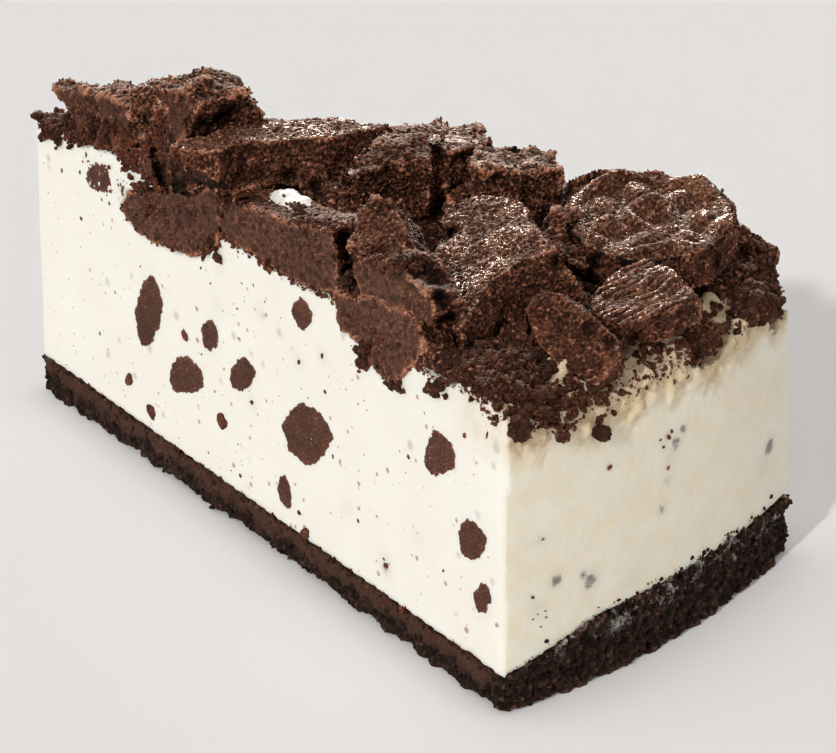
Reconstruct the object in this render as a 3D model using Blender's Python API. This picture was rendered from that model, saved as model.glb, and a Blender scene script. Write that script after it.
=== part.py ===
"""A slice of cookies and cream cheesecake, cut from a round cake: a pressed biscuit base, a deep set cream
filling with broken biscuit in it, and a topping of crumbs with large broken biscuits on and in it.

The origin is on the flat underside, on the slice's line of symmetry. X runs from the tip to the rim."""

import math
import random
from collections import namedtuple

import bmesh
import bpy
from mathutils import Matrix, Vector, noise

MM = 0.001

# Driving dimensions, in millimetres
CAKE_RADIUS = 115.0
SLICES = 12
TIP_TO_ORIGIN = 70.0
TIP_CUT = 1.5
BASE_THICK = 5.0
BASE_LIP = 8.7
CREAM_TOP = 41.4
GAP = 0.3

# How far the walls lean and round over
RIM_DRAFT = 1.1
FAR_FACE_LEAN = 2.6
SHOULDER = 5.0
CORNER_ROUND = 0.9
FOOT_ROUND = 0.8

# The grid that the base, the cream and the crumbs share, and how it crowds towards the rim
ALONG = 18
ACROSS = 6
CROWDING = 1.2

NOISE_SEED = 5

# Roughness: how far each surface strays, and over what length
TOP_WAVE = 0.7
TOP_WAVE_LENGTH = 9.0
CREAM_WAVE = 0.25
CREAM_WAVE_LENGTH = 14.0
BASE_CRAG = 0.7
BASE_CRAG_LENGTH = 3.2
BISCUIT_CRAG = 0.7
BISCUIT_CRAG_LENGTH = 3.0
LONGEST_EDGE = 4.6

# The crumb layer
CRUMB_DEPTH = 3.0
CRUMB_DEPTH_WAVE = 1.2
CRUMB_COLUMNS = 17
CRUMB_EDGE_SHARE = 0.25
CRUMB_CLEARANCE = 0.45

# The line, along the near cut face, where the cream meets the topping: distance from the tip, height
NEAR_LINE = (
    (0, 41.0), (14, 43.0), (21, 44.2), (32, 43.4), (50, 41.6), (70, 41.6),
    (79, 43.0), (90, 41.0), (100, 40.2), (107, 41.4), (115, 38.5),
)

HALF_ANGLE = math.pi / SLICES

Biscuit = namedtuple("Biscuit", "name outline thick at turn")

# Broken biscuits lying on the topping. An outline is the top face, in millimetres about the piece's own
# place, `at` is that place (from the tip, across, up) and `turn` is in degrees.
LOOSE = (
    Biscuit(
        "stamped_biscuit",
        ((-11.5, 2), (-10, 8), (-6, 11), (1, 10.5), (8.5, 7), (11, 2), (10.5, -3), (7, -9), (-1, -12.5),
         (-7, -10), (-10.5, -4)),
        5.5, (99, 13.5, 50.6), (7, 0, 41),
    ),
    Biscuit(
        "half_biscuit",
        ((-7, -11), (-7.5, 5), (-5.5, 16), (-0.5, 15), (5, 9), (7, 0), (9, -5.5), (4.5, -5.5), (-0.5, -8.5),
         (-4.5, -15)),
        10, (92.5, -11, 51), (7, -26, 38),
    ),
    Biscuit(
        "left_crest",
        ((-9, 0.5), (-6, 3.5), (-1, 4), (2.5, 6), (5.5, 2.5), (9, -4), (5.5, -4), (-2, -3), (-6, -2)),
        8.5, (38.5, -6.5, 57), (31, -5, 38),
    ),
    Biscuit(
        "long_bar",
        ((-14, -4.5), (-9, -0.5), (-5.5, 5), (8, 5.5), (14.5, 3), (11, 0), (7, -1.5), (-4.5, -2.5),
         (-7.5, -6)),
        6.5, (51, -4.5, 54), (0, 0, 41),
    ),
    Biscuit(
        "peak_block",
        ((-4.5, -1), (-3, 4), (0, 5.5), (2.5, 4), (4, -1), (4, -6), (-2, -5)),
        8, (81, -18.5, 52.6), (43, -16, 27),
    ),
    Biscuit(
        "mid_block",
        ((-6, -4), (-3, 1), (-1, 5.5), (3.5, 6), (5.5, 1), (5, -2), (-0.5, -2.5), (-4, -5)),
        9, (67, -0.5, 54.4), (14, 0, 41),
    ),
    Biscuit(
        "back_slab",
        ((-7, 1.5), (0, 4.5), (5, 4.5), (7, -1), (1.5, -5.5), (-5, -2)),
        8, (67, 9.5, 54), (0, 6, 41),
    ),
    Biscuit(
        "rear_block",
        ((-5.5, -0.5), (-4.5, 4), (1, 4), (5.5, 1.5), (6, -2.5), (1, -3.5), (-4, -3)),
        8, (80, 9, 54), (6, 0, 41),
    ),
    Biscuit(
        "leaning_slab",
        ((-6, 3), (-4, 5.5), (-1.5, 5.5), (2, 2.5), (5.5, -1), (5.5, -4), (3, -6.5), (-1, -4.5), (-4, -1)),
        4.5, (109, -15, 46.4), (52, -9, 29),
    ),
    Biscuit(
        "ridged_piece",
        ((-6, -3.5), (-5, 1), (-2.5, 4), (1.5, 5.5), (4.5, 3.5), (7, -1), (3.5, -3.5), (-2.5, -6)),
        4.5, (110, -3, 48.2), (19, -3, 40),
    ),
    Biscuit(
        "corner_lump",
        ((-5, 0.5), (-4, 4.5), (-1, 6.5), (1.5, 6), (4, 4), (5, -0.5), (4.5, -5), (1.5, -7), (-2, -6),
         (-5, -3)),
        9, (108, 23, 41.5), (44, 23, 61),
    ),
    Biscuit(
        "rear_foot",
        ((-7.5, 0), (-4.5, 2), (2, 2.5), (6.5, 3), (7, -2), (3, -3), (-1, -2.5), (-6, -3)),
        6, (79, 8.5, 49), (37, 0, 41),
    ),
    Biscuit(
        "side_block",
        ((-4, 0), (-2, 5), (0.5, 4), (3.5, -1), (3, -4.5), (-0.5, -3.5)),
        7, (95, 2.5, 49.2), (31, 5, 44),
    ),
    Biscuit(
        "mid_lump",
        ((-3.5, 3), (-0.5, 3.5), (2.5, 2), (3.5, -1.5), (2.5, -3.5), (-1, -2.5), (-3, 0)),
        6, (60.5, -6, 49.2), (49, -4, 37),
    ),
    Biscuit(
        "rim_chip",
        ((-3, -1), (-2, 1.5), (1, 3), (3.5, 2), (2.5, -0.5), (-0.5, -3)),
        4, (113.5, 5, 40), (45, 8, 55),
    ),
    Biscuit(
        "far_slab",
        ((-8, -3), (-5, 3), (2, 4), (8, 2), (7, -3), (0, -4)),
        4, (46, 7, 49), (4, 3, 16),
    ),
    Biscuit(
        "far_wedge",
        ((-5, -3), (-3, 3), (4, 2.5), (6, -2), (0, -4)),
        4, (77, 16.5, 48), (-6, 4, 14),
    ),
)

# Biscuits that the knife went through. Their outline lies in the cut face, x along it and y up, and their
# thickness runs into the slice.
NEAR_CUT = (90, 0, -math.degrees(HALF_ANGLE))
FAR_CUT = (90, 0, 180 + math.degrees(HALF_ANGLE))
FLUSH = (
    Biscuit(
        "tip_shard",
        ((-12, 1), (-4.5, 2.5), (3, 4), (10.5, 5), (13, 2.5), (6.5, -2), (-1, -4), (-7, -5), (-8, -1)),
        4.5, (19.5, 0, 47.5), NEAR_CUT,
    ),
    Biscuit(
        "left_foot",
        ((-5, 3), (-2.5, 5.5), (6.5, 8.5), (10, 7.5), (4, 0.5), (1, -6), (-2.5, -9), (-5, -7.5), (-6, -2)),
        7, (36, 0, 51), NEAR_CUT,
    ),
    Biscuit(
        "sunk_left",
        ((-14, -3.5), (-12, -1), (-5, 2.5), (6.5, 6.5), (12.5, 7.5), (11.5, 1.5), (9, -1.5), (4, -3.5),
         (-4, -5), (-10, -5)),
        8, (38.5, 0, 39.8), NEAR_CUT,
    ),
    Biscuit(
        "flush_bar",
        ((-15.5, 1), (-8, 2.5), (1, 3.5), (10.5, 6), (12, 3.5), (12, -2), (9.5, -2.5), (1, -4), (-8, -3.5),
         (-15.5, -4)),
        6, (66, 0, 45.8), NEAR_CUT,
    ),
    Biscuit(
        "sunk_mid",
        ((-9.5, 2.5), (0.5, 5), (8.5, 6), (10.5, 2), (6.5, -1.5), (4, -5), (0.5, -5), (-3, -2), (-8, -1.5)),
        8, (87, 0, 41), NEAR_CUT,
    ),
    Biscuit(
        "peak_foot",
        ((-9.5, 0.5), (0, 4), (8.5, 1), (7.5, -2), (0, -3.5), (-7.5, -2.5)),
        5, (91.5, 0, 48.8), NEAR_CUT,
    ),
    Biscuit(
        "far_flush_left",
        ((-9, -2.5), (-8, 2), (0, 3.5), (8, 1), (9.5, -3), (2, -3)),
        4.5, (36, 0, 45), FAR_CUT,
    ),
    Biscuit(
        "far_flush_mid",
        ((-8, -4), (-9, 1), (-2, 4.5), (6, 3), (10, -2), (3, -5)),
        7, (66, 0, 44), FAR_CUT,
    ),
    Biscuit(
        "far_flush_right",
        ((-7, -4), (-8, 2), (0, 4), (8, 2.5), (8.5, -3), (0, -5.5)),
        7, (94, 0, 43.5), FAR_CUT,
    ),
)

# Biscuit in the cream where the knife went through it: distance from the tip along the cut face, height,
# long and short width, lean in degrees
NEAR_BITS = (
    ("bit_crumbly", 18.5, 38.6, 7, 3.6, 25),
    ("bit_tall", 31, 23.6, 12.4, 6, 61),
    ("bit_narrow", 47, 26, 5.5, 3.6, 50),
    ("bit_triangle", 41, 17.8, 9.6, 5.4, 33),
    ("bit_slim", 55, 23.3, 6.6, 4.4, 40),
    ("bit_largest", 71, 21.2, 13, 8, 28),
    ("bit_upper", 69.8, 37.6, 5, 4, 34),
    ("bit_long", 101, 30.3, 7.6, 5, 35),
    ("bit_corner", 108, 21.7, 7.2, 4.4, 35),
    ("bit_foot", 110.5, 14.8, 4.6, 3, 65),
    ("bit_low", 65.3, 10.4, 4.8, 3.4, 80),
)
FAR_BITS = (
    ("far_bit_tall", 28, 21, 10, 5, 70),
    ("far_bit_round", 44, 31, 7, 5.5, 20),
    ("far_bit_largest", 62, 17, 12, 7, 35),
    ("far_bit_slim", 78, 29, 8, 4, 60),
    ("far_bit_wide", 95, 16, 9, 5.5, 15),
)
BIT_DEPTH = 0.7

# The hollow in the crumbs that shows bare cream, as its middle, half widths and turn
HOLLOW_AT = (51, -1, 44.5)
HOLLOW_SIZE = (9, 4.5, 5)
HOLLOW_TURN = (0, 0, -49)

# Where fused crumbs gather: count, middle, half widths, smallest and largest radius
HEAPS = (
    (10, (6, 0, 45), (4, 0.8, 1.8), (1.3, 2.1)),
    (3, (26, 1, 46.5), (9, 3.5, 1), (1.5, 2.5)),
    (2, (57, 4, 46), (7, 8, 1), (1.8, 3.0)),
    (3, (73, 3, 47), (9, 12, 1.5), (1.8, 3.0)),
    (2, (88, 4, 47), (6, 12, 1.5), (1.8, 2.8)),
    (14, (101, -19, 43), (7, 6, 1.5), (1.7, 2.9)),
    (14, (110.5, -21, 40), (2.5, 6, 1.5), (1.6, 2.4)),
    (9, (111.5, -23, 37.5), (2, 5, 1.5), (1.4, 2.1)),
    (8, (109, 2, 42), (2.5, 14, 1.5), (1.4, 2.2)),
    (4, (107, 16, 43), (4, 6, 1.5), (1.5, 2.4)),
    (3, (96, 24, 44), (10, 2, 1), (1.4, 2.2)),
)


def principled(name, hex_colour, roughness, subsurface=0.0):
    """A food material from a display colour."""
    material = bpy.data.materials.new(name)
    material.use_nodes = True
    shader = material.node_tree.nodes["Principled BSDF"]
    channels = [int(hex_colour[i:i + 2], 16) / 255 for i in (0, 2, 4)]
    linear = [c / 12.92 if c <= 0.04045 else ((c + 0.055) / 1.055) ** 2.4 for c in channels]
    shader.inputs["Base Color"].default_value = (*linear, 1)
    shader.inputs["Roughness"].default_value = roughness
    shader.inputs["Metallic"].default_value = 0.0
    shader.inputs["Subsurface Weight"].default_value = subsurface
    return material


def make_object(name, bm, material, at=(TIP_TO_ORIGIN, 0, 0), turn=(0, 0, 0)):
    """Turns a bmesh in millimetres into an object, placed by a point (from the tip, across, up)."""
    bmesh.ops.recalc_face_normals(bm, faces=bm.faces)
    bmesh.ops.scale(bm, vec=(MM, MM, MM), verts=bm.verts)
    mesh = bpy.data.meshes.new(name)
    bm.to_mesh(mesh)
    bm.free()
    mesh.materials.append(material)
    obj = bpy.data.objects.new(name, mesh)
    bpy.context.scene.collection.objects.link(obj)
    obj.location = ((at[0] - TIP_TO_ORIGIN) * MM, at[1] * MM, at[2] * MM)
    obj.rotation_euler = [math.radians(angle) for angle in turn]
    return obj


def as_cutter(obj):
    obj.hide_render = True
    obj.display_type = "WIRE"
    return obj


def boolean(obj, operation, others, solver="EXACT"):
    """One Boolean of an object with a collection of others, kept as the object's own mesh. MANIFOLD is for
    the crumbs, whose many crossing balls leave open edges with EXACT."""
    group = bpy.data.collections.new(f"{obj.name}_operands")
    bpy.context.scene.collection.children.link(group)
    for other in others:
        group.objects.link(other)
    modifier = obj.modifiers.new(operation.lower(), "BOOLEAN")
    modifier.operand_type = "COLLECTION"
    modifier.collection = group
    modifier.operation = operation
    modifier.solver = solver
    bpy.context.view_layer.update()
    graph = bpy.context.evaluated_depsgraph_get()
    mesh = bpy.data.meshes.new_from_object(obj.evaluated_get(graph))
    obj.modifiers.clear()
    obj.data = mesh
    bpy.data.collections.remove(group)


def remove(objects):
    for obj in objects:
        bpy.data.objects.remove(obj)


def keep_largest_body(obj):
    """Drops the loose scraps that a cut leaves."""
    bm = bmesh.new()
    bm.from_mesh(obj.data)
    left = set(bm.verts)
    bodies = []
    while left:
        front = [left.pop()]
        body = list(front)
        while front:
            vert = front.pop()
            for edge in vert.link_edges:
                other = edge.other_vert(vert)
                if other in left:
                    left.remove(other)
                    front.append(other)
                    body.append(other)
        bodies.append(body)
    bodies.sort(key=len, reverse=True)
    scraps = [vert for body in bodies[1:] for vert in body]
    bmesh.ops.delete(bm, geom=scraps, context="VERTS")
    bm.to_mesh(obj.data)
    bm.free()


def drift(point, length, seed=0):
    """A smooth random vector that depends only on the place."""
    return noise.noise_vector(Vector(point) / length + Vector((seed, seed, seed)))


# The slice's plan and its heights

def plan(u, v, height):
    """The plan point at u from tip (0) to rim (1), v from near (-1) to far (1) cut face."""
    rise = height / CREAM_TOP
    radius = TIP_CUT + (CAKE_RADIUS - TIP_CUT) * (1 - (1 - u) ** CROWDING)
    angle = HALF_ANGLE * math.sin(math.pi / 2 * v)
    if u == 1:
        radius -= RIM_DRAFT * rise
        radius -= CORNER_ROUND * (abs(v) == 1)
    lean = FAR_FACE_LEAN * rise * radius / CAKE_RADIUS * max(v, 0)
    return radius * math.cos(angle), radius * math.sin(angle) - lean


def smooth_step(value, start, end):
    share = min(max((value - start) / (end - start), 0), 1)
    return share * share * (3 - 2 * share)


def base_top(x, y):
    """The base is level inside, and pressed a little way up the rim, less so at the near corner."""
    radius = math.hypot(x, y)
    angle = math.atan2(y, x)
    away_from_corner = smooth_step(angle, -HALF_ANGLE, -HALF_ANGLE * 0.6)
    rim = smooth_step(radius, CAKE_RADIUS - 6.5, CAKE_RADIUS - 3.5)
    return BASE_THICK + (BASE_LIP - BASE_THICK) * rim * away_from_corner


def near_line(distance):
    """The height of NEAR_LINE at a distance from the tip."""
    for (start, low), (end, high) in zip(NEAR_LINE, NEAR_LINE[1:]):
        if distance <= end:
            return low + (high - low) * smooth_step(distance, start, end)
    return NEAR_LINE[-1][1]


def cream_top(x, y):
    """The cream's top, wavy inside, following NEAR_LINE at the near face and rounding over at the rim."""
    radius = math.hypot(x, y)
    nearness = smooth_step(-math.atan2(y, x), HALF_ANGLE * 0.3, HALF_ANGLE)
    wave = TOP_WAVE * noise.noise(Vector((x, y, 0)) / TOP_WAVE_LENGTH)
    inside = CREAM_TOP + wave
    over = max(radius - (CAKE_RADIUS - SHOULDER), 0) / SHOULDER
    drop = SHOULDER * (1 - math.sqrt(max(1 - over * over, 0)))
    return inside + (near_line(radius) - inside) * nearness - drop


def crumb_top(x, y):
    """The crumb layer's top, uneven, and thin along the rim except at the near corner."""
    wave = CRUMB_DEPTH_WAVE * noise.noise(Vector((x, y, 40)) / TOP_WAVE_LENGTH * 2)
    radius = math.hypot(x, y)
    rim = smooth_step(radius, CAKE_RADIUS - 11, CAKE_RADIUS - 5)
    away_from_corner = smooth_step(math.atan2(y, x), -HALF_ANGLE * 0.8, -HALF_ANGLE * 0.3)
    share = 1 - (1 - CRUMB_EDGE_SHARE) * rim * away_from_corner
    return cream_top(x, y) + CRUMB_CLEARANCE + (CRUMB_DEPTH + wave) * share


def slice_block(bottom, top, walls, columns=ALONG, margin=0.0):
    """A closed block over the plan, between two heights given as functions of the place. `walls` is the
    number of rings in its sides, `columns` how far it reaches and `margin` how far outside the plan. Its
    squares are split the same way in every block, so that two blocks keep their distance all over."""
    bm = bmesh.new()
    bmesh.ops.create_grid(bm, x_segments=ALONG, y_segments=ACROSS, size=1)
    beyond = [face for face in bm.faces if (face.calc_center_median().x + 1) / 2 * ALONG > columns]
    bmesh.ops.delete(bm, geom=beyond, context="FACES")
    faces = list(bm.faces)
    for wall in range(1, walls + 1):
        grown = bmesh.ops.extrude_face_region(bm, geom=faces)["geom"]
        if wall > 1:
            bmesh.ops.delete(bm, geom=faces, context="FACES")
        faces = [item for item in grown if isinstance(item, bmesh.types.BMFace)]
        for item in grown:
            if isinstance(item, bmesh.types.BMVert):
                item.co.z = wall
    for vert in bm.verts:
        u = round((vert.co.x + 1) / 2, 6)
        v = round(vert.co.y, 6)
        share = vert.co.z / walls
        x, y = plan(u, v, CREAM_TOP * 0.5)
        low, high = bottom(x, y), top(x, y)
        z = low + (high - low) * share
        x, y = plan(u, v, z)
        outward = Vector((margin * (u == 1) - margin * (u == 0), margin * (v == 1) - margin * (v == -1), 0))
        vert.co = Vector((x - TIP_TO_ORIGIN, y, z)) + outward
    bmesh.ops.triangulate(bm, faces=bm.faces, quad_method="FIXED")
    return bm


def is_outside(point, slack=0.4):
    """Whether a point of a block lies on its rim or a cut face, not on its inner grid."""
    x, y = point.x + TIP_TO_ORIGIN, point.y
    radius = math.hypot(x, y)
    reach = radius * math.sin(HALF_ANGLE - abs(math.atan2(y, x)))
    return radius > CAKE_RADIUS - 1.5 or reach < slack + FAR_FACE_LEAN * (y > 0)


# The base, the cream and the crumbs

def make_base(material):
    """The pressed biscuit base, with a crumbling side and a lower edge that is rounded off."""
    bm = slice_block(lambda x, y: 0.0, base_top, walls=3)
    for vert in bm.verts:
        if not is_outside(vert.co):
            continue
        stray = drift(vert.co, BASE_CRAG_LENGTH) * BASE_CRAG
        vert.co += Vector((stray.x, stray.y, 0))
        if vert.co.z == 0:
            inward = Vector((-vert.co.x, -vert.co.y * 2, 0)).normalized()
            vert.co += inward * FOOT_ROUND
    under = [face for face in bm.faces if all(vert.co.z == 0 for vert in face.verts)]
    bmesh.ops.dissolve_faces(bm, faces=under)
    return make_object("base", bm, material)


def make_filling(material):
    """The set cream, smooth on its sides and with a rounded, uneven shoulder along the rim."""
    bm = slice_block(lambda x, y: base_top(x, y) + GAP, cream_top, walls=4)
    for vert in bm.verts:
        if is_outside(vert.co) and BASE_LIP + 1 < vert.co.z < CREAM_TOP - SHOULDER - 1:
            stray = drift(vert.co, CREAM_WAVE_LENGTH, 3) * CREAM_WAVE
            vert.co += Vector((stray.x, stray.y, 0))
    return make_object("filling", bm, material)


def crumb(rng, middle, spread, radii):
    """One crumb: a small uneven ball of few sides."""
    radius = rng.uniform(*radii)
    bm = bmesh.new()
    bmesh.ops.create_icosphere(bm, subdivisions=1, radius=radius)
    for vert in bm.verts:
        vert.co *= rng.uniform(0.88, 1.14)
    offset = Vector([rng.uniform(-1, 1) * half for half in spread])
    place = Vector(middle) + offset
    bmesh.ops.translate(bm, vec=place - Vector((TIP_TO_ORIGIN, 0, 0)), verts=bm.verts)
    return bm


def make_crumbs(material):
    """The crumb layer with the crumbs fused to it, cut clear of the cream."""
    rng = random.Random(11)
    core = slice_block(
        lambda x, y: cream_top(x, y) + CRUMB_CLEARANCE, crumb_top, walls=1, columns=CRUMB_COLUMNS,
    )
    bed = make_object("crumb_topping", core, material)
    balls = []
    for count, middle, spread, radii in HEAPS:
        for _ in range(count):
            ball = crumb(rng, middle, spread, radii)
            balls.append(make_object(f"crumb_{len(balls)}", ball, material))
    boolean(bed, "UNION", balls, "MANIFOLD")
    remove(balls)
    clear = slice_block(lambda x, y: -1.0, lambda x, y: cream_top(x, y) + GAP, walls=1, margin=2 * GAP)
    hollow = bmesh.new()
    bmesh.ops.create_icosphere(hollow, subdivisions=2, radius=1)
    bmesh.ops.scale(hollow, vec=HOLLOW_SIZE, verts=hollow.verts)
    cutters = [
        as_cutter(make_object("cream_clearance", clear, material)),
        as_cutter(make_object("hollow", hollow, material, HOLLOW_AT, HOLLOW_TURN)),
    ]
    boolean(bed, "DIFFERENCE", cutters, "MANIFOLD")
    remove(cutters)
    keep_largest_body(bed)
    return bed


# The broken biscuits

def biscuit_mesh(piece, flush, grow=0.0):
    """An outline extruded to a slab, then cut up and roughened. The face that the knife
    cut stays flat. `grow` is how far the surface is moved outward, for a cutter."""
    bm = bmesh.new()
    ring = [bm.verts.new((x, y, 0)) for x, y in piece.outline]
    top = bm.faces.new(ring)
    under = bmesh.ops.extrude_face_region(bm, geom=[top])["geom"]
    bmesh.ops.translate(
        bm, vec=(0, 0, -piece.thick), verts=[item for item in under if isinstance(item, bmesh.types.BMVert)],
    )
    bmesh.ops.triangulate(bm, faces=bm.faces)
    long_edges = [edge for edge in bm.edges if edge.calc_length() > LONGEST_EDGE]
    bmesh.ops.subdivide_edges(bm, edges=long_edges, cuts=1)
    bmesh.ops.triangulate(bm, faces=bm.faces)
    seed = len(piece.name) + piece.at[0]
    for vert in bm.verts:
        stray = drift(vert.co, BISCUIT_CRAG_LENGTH, seed) * BISCUIT_CRAG
        if flush and vert.co.z > -0.01:
            stray.z = 0
        vert.co += stray
    bmesh.ops.recalc_face_normals(bm, faces=bm.faces)
    if grow:
        bm.normal_update()
        for vert in bm.verts:
            vert.co += vert.normal * grow * vert.calc_shell_factor()
    return bm


def biscuit_place(piece, flush):
    """A flush piece's place is its distance along the cut face, so it is turned into that face."""
    if not flush:
        return piece.at
    distance, _, height = piece.at
    side = 1 if piece.turn == FAR_CUT else -1
    lean = FAR_FACE_LEAN * height / CREAM_TOP * distance / CAKE_RADIUS * (side > 0)
    return distance * math.cos(HALF_ANGLE), side * distance * math.sin(HALF_ANGLE) - lean, height


def make_biscuits(material):
    """All the broken biscuits, each cut clear of those before it. Gives the cutters that clear the rest."""
    cutters = []
    for pieces, flush in ((FLUSH, True), (LOOSE, False)):
        for piece in pieces:
            place = biscuit_place(piece, flush)
            obj = make_object(piece.name, biscuit_mesh(piece, flush), material, place, piece.turn)
            if cutters:
                boolean(obj, "DIFFERENCE", cutters)
                keep_largest_body(obj)
            grown = make_object(
                f"{piece.name}_room", biscuit_mesh(piece, flush, GAP), material, place, piece.turn,
            )
            cutters.append(as_cutter(grown))
    return cutters


def bit_mesh(length, width, grow, seed):
    """Half an uneven ball, its flat side in the cut face."""
    bm = bmesh.new()
    bmesh.ops.create_icosphere(bm, subdivisions=2, radius=1)
    for vert in bm.verts:
        vert.co += drift(vert.co, 1.1, seed) * 0.32
    bmesh.ops.scale(bm, vec=(length / 2, width / 2, width * BIT_DEPTH), verts=bm.verts)
    if grow:
        bm.normal_update()
        for vert in bm.verts:
            vert.co += vert.normal * grow
        return bm
    cut = bmesh.ops.bisect_plane(
        bm, geom=bm.verts[:] + bm.edges[:] + bm.faces[:], plane_co=(0, 0, 0), plane_no=(0, 0, 1),
        clear_outer=True,
    )
    rim = [item for item in cut["geom_cut"] if isinstance(item, bmesh.types.BMEdge)]
    bmesh.ops.contextual_create(bm, geom=rim)
    return bm


def make_bits(material):
    """The bits of biscuit in the two cut faces. Gives the cutters for their pockets."""
    cutters = []
    for side, turn, entries in ((-1, NEAR_CUT, NEAR_BITS), (1, FAR_CUT, FAR_BITS)):
        for name, distance, height, length, width, lean in entries:
            inward = FAR_FACE_LEAN * height / CREAM_TOP * distance / CAKE_RADIUS * (side > 0)
            place = (
                distance * math.cos(HALF_ANGLE),
                side * distance * math.sin(HALF_ANGLE) - inward,
                height,
            )
            for grow in (0.0, GAP):
                bm = bit_mesh(length, width, grow, distance)
                leaning = Matrix.Rotation(math.radians(lean * -side), 3, "Z")
                bmesh.ops.rotate(bm, verts=bm.verts, matrix=leaning)
                label = f"{name}_room" if grow else name
                obj = make_object(label, bm, material, place, turn)
                if grow:
                    cutters.append(as_cutter(obj))
    return cutters


def main():
    remove(list(bpy.data.objects))
    noise.seed_set(NOISE_SEED)
    base_biscuit = principled("base_biscuit", "3F2A22", 0.85)
    cream = principled("set_cream", "F1ECDF", 0.45, 0.1)
    cocoa_biscuit = principled("cocoa_biscuit", "4A332B", 0.8)

    make_base(base_biscuit)
    filling = make_filling(cream)
    crumbs = make_crumbs(cocoa_biscuit)
    biscuit_cutters = make_biscuits(cocoa_biscuit)
    bit_cutters = make_bits(cocoa_biscuit)

    boolean(crumbs, "DIFFERENCE", biscuit_cutters, "MANIFOLD")
    keep_largest_body(crumbs)
    boolean(filling, "DIFFERENCE", biscuit_cutters + bit_cutters)
    keep_largest_body(filling)
    remove(biscuit_cutters + bit_cutters)


main()
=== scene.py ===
# %% [markdown]
# A slice of cookies and cream cheesecake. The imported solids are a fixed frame: they give every place and
# size, and this lesson dresses them. Nothing is fitted by eye, because both are in the same metres. Most
# solids here are plain slabs with flat facets, so each one is copied, rebuilt as an even net of small
# squares, and roughened the way broken biscuit, torn cream and pressed crumb are rough.

# %% Load the frame
import math

import bpy
import numpy as np
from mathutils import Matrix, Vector
from mathutils.bvhtree import BVHTree


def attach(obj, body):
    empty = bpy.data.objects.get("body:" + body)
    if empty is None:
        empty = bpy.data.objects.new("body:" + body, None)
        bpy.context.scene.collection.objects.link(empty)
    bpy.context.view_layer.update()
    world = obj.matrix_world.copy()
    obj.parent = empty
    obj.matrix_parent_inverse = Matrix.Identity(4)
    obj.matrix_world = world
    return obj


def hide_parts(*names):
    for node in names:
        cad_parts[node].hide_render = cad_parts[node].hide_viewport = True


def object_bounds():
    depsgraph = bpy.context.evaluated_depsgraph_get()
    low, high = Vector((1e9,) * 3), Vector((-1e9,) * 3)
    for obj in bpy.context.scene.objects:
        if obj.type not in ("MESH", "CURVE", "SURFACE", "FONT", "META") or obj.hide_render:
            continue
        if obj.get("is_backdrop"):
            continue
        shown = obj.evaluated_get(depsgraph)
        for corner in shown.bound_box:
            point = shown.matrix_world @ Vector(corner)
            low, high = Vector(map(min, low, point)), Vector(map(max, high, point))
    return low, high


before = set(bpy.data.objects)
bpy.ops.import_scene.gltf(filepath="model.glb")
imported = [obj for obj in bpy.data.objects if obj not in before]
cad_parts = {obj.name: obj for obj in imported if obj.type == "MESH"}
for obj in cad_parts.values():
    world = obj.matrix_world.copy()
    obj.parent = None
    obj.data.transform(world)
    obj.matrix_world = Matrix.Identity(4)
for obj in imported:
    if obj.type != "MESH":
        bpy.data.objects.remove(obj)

cad_box = [list(corner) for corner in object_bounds()]
print("solids:", len(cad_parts), "box:", cad_box)

# %% [markdown]
# All the sizes below are millimetres on the real slice, measured from its tip: x towards the rim, y
# towards the far cut face, z up. The frame's origin lies 70 mm from the tip, so two functions turn such
# places into the frame's metres and back.

# %% Places and sizes
MM = 0.001
ORIGIN = np.array((70.0, 0.0, 0.0))
CAKE_RADIUS = 115.0
CREAM_TOP = 41.4
HALF_ANGLE = math.radians(15)


def from_tip(points):
    """Frame metres as millimetres from the tip."""
    return points / MM + ORIGIN


def to_frame(points):
    """Millimetres from the tip as frame metres."""
    return (points - ORIGIN) * MM


def radius_of(points):
    """How far each point lies from the cake's axis, which runs through the slice's tip."""
    return np.hypot(points[:, 0], points[:, 1])


def step(values, start, end):
    """0 before the start, 1 past the end, and a smooth rise between them."""
    share = np.clip((values - start) / (end - start), 0, 1)
    return share * share * (3 - 2 * share)


print("slice:", CAKE_RADIUS, "mm long,", CREAM_TOP, "mm of cream and base")

# %% [markdown]
# The camera stands where the photograph was taken from: 41 degrees round towards the rim and 25 degrees up.
# A long lens, about 180 mm, keeps the far edges nearly parallel, as in the picture. A few small things are
# placed where a pixel of the picture shows them, so one function gives a pixel's line of sight.

# %% Camera
WIDTH, HEIGHT = 836, 753
FOCAL = 4200  # the lens, in pixels of the picture
AZIMUTH = math.radians(40.865)
ELEVATION = math.radians(25.25)
DISTANCE = 0.54814
back = Vector((
    math.sin(AZIMUTH) * math.cos(ELEVATION),
    -math.cos(AZIMUTH) * math.cos(ELEVATION),
    math.sin(ELEVATION),
))
sideways = Vector((math.cos(AZIMUTH), math.sin(AZIMUTH), 0.0))
upward = back.cross(sideways)
bpy.ops.object.camera_add(location=Vector((0.00336, -0.00218, 0.025)) + back * DISTANCE)
camera = bpy.context.object
camera.rotation_euler = (-back).to_track_quat("-Z", "Y").to_euler()
camera.data.sensor_width = 36.0
camera.data.lens = FOCAL / WIDTH * camera.data.sensor_width
camera.data.clip_start = 0.01
bpy.context.scene.camera = camera
print("lens:", round(camera.data.lens, 1), "mm")


def sight(column, row):
    """A pixel's line of sight: where it starts, in millimetres from the tip, and its direction."""
    way = -back + sideways * (column - WIDTH / 2) / FOCAL + upward * (HEIGHT / 2 - row) / FOCAL
    return Vector(from_tip(np.array(camera.location))), way.normalized()


# %% [markdown]
# One function adds every node that the materials use: its settings, its sockets and its links. Colours are
# written as the display hex values one would pick from a picture, and one function makes them linear.

# %% Colours and nodes


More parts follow.
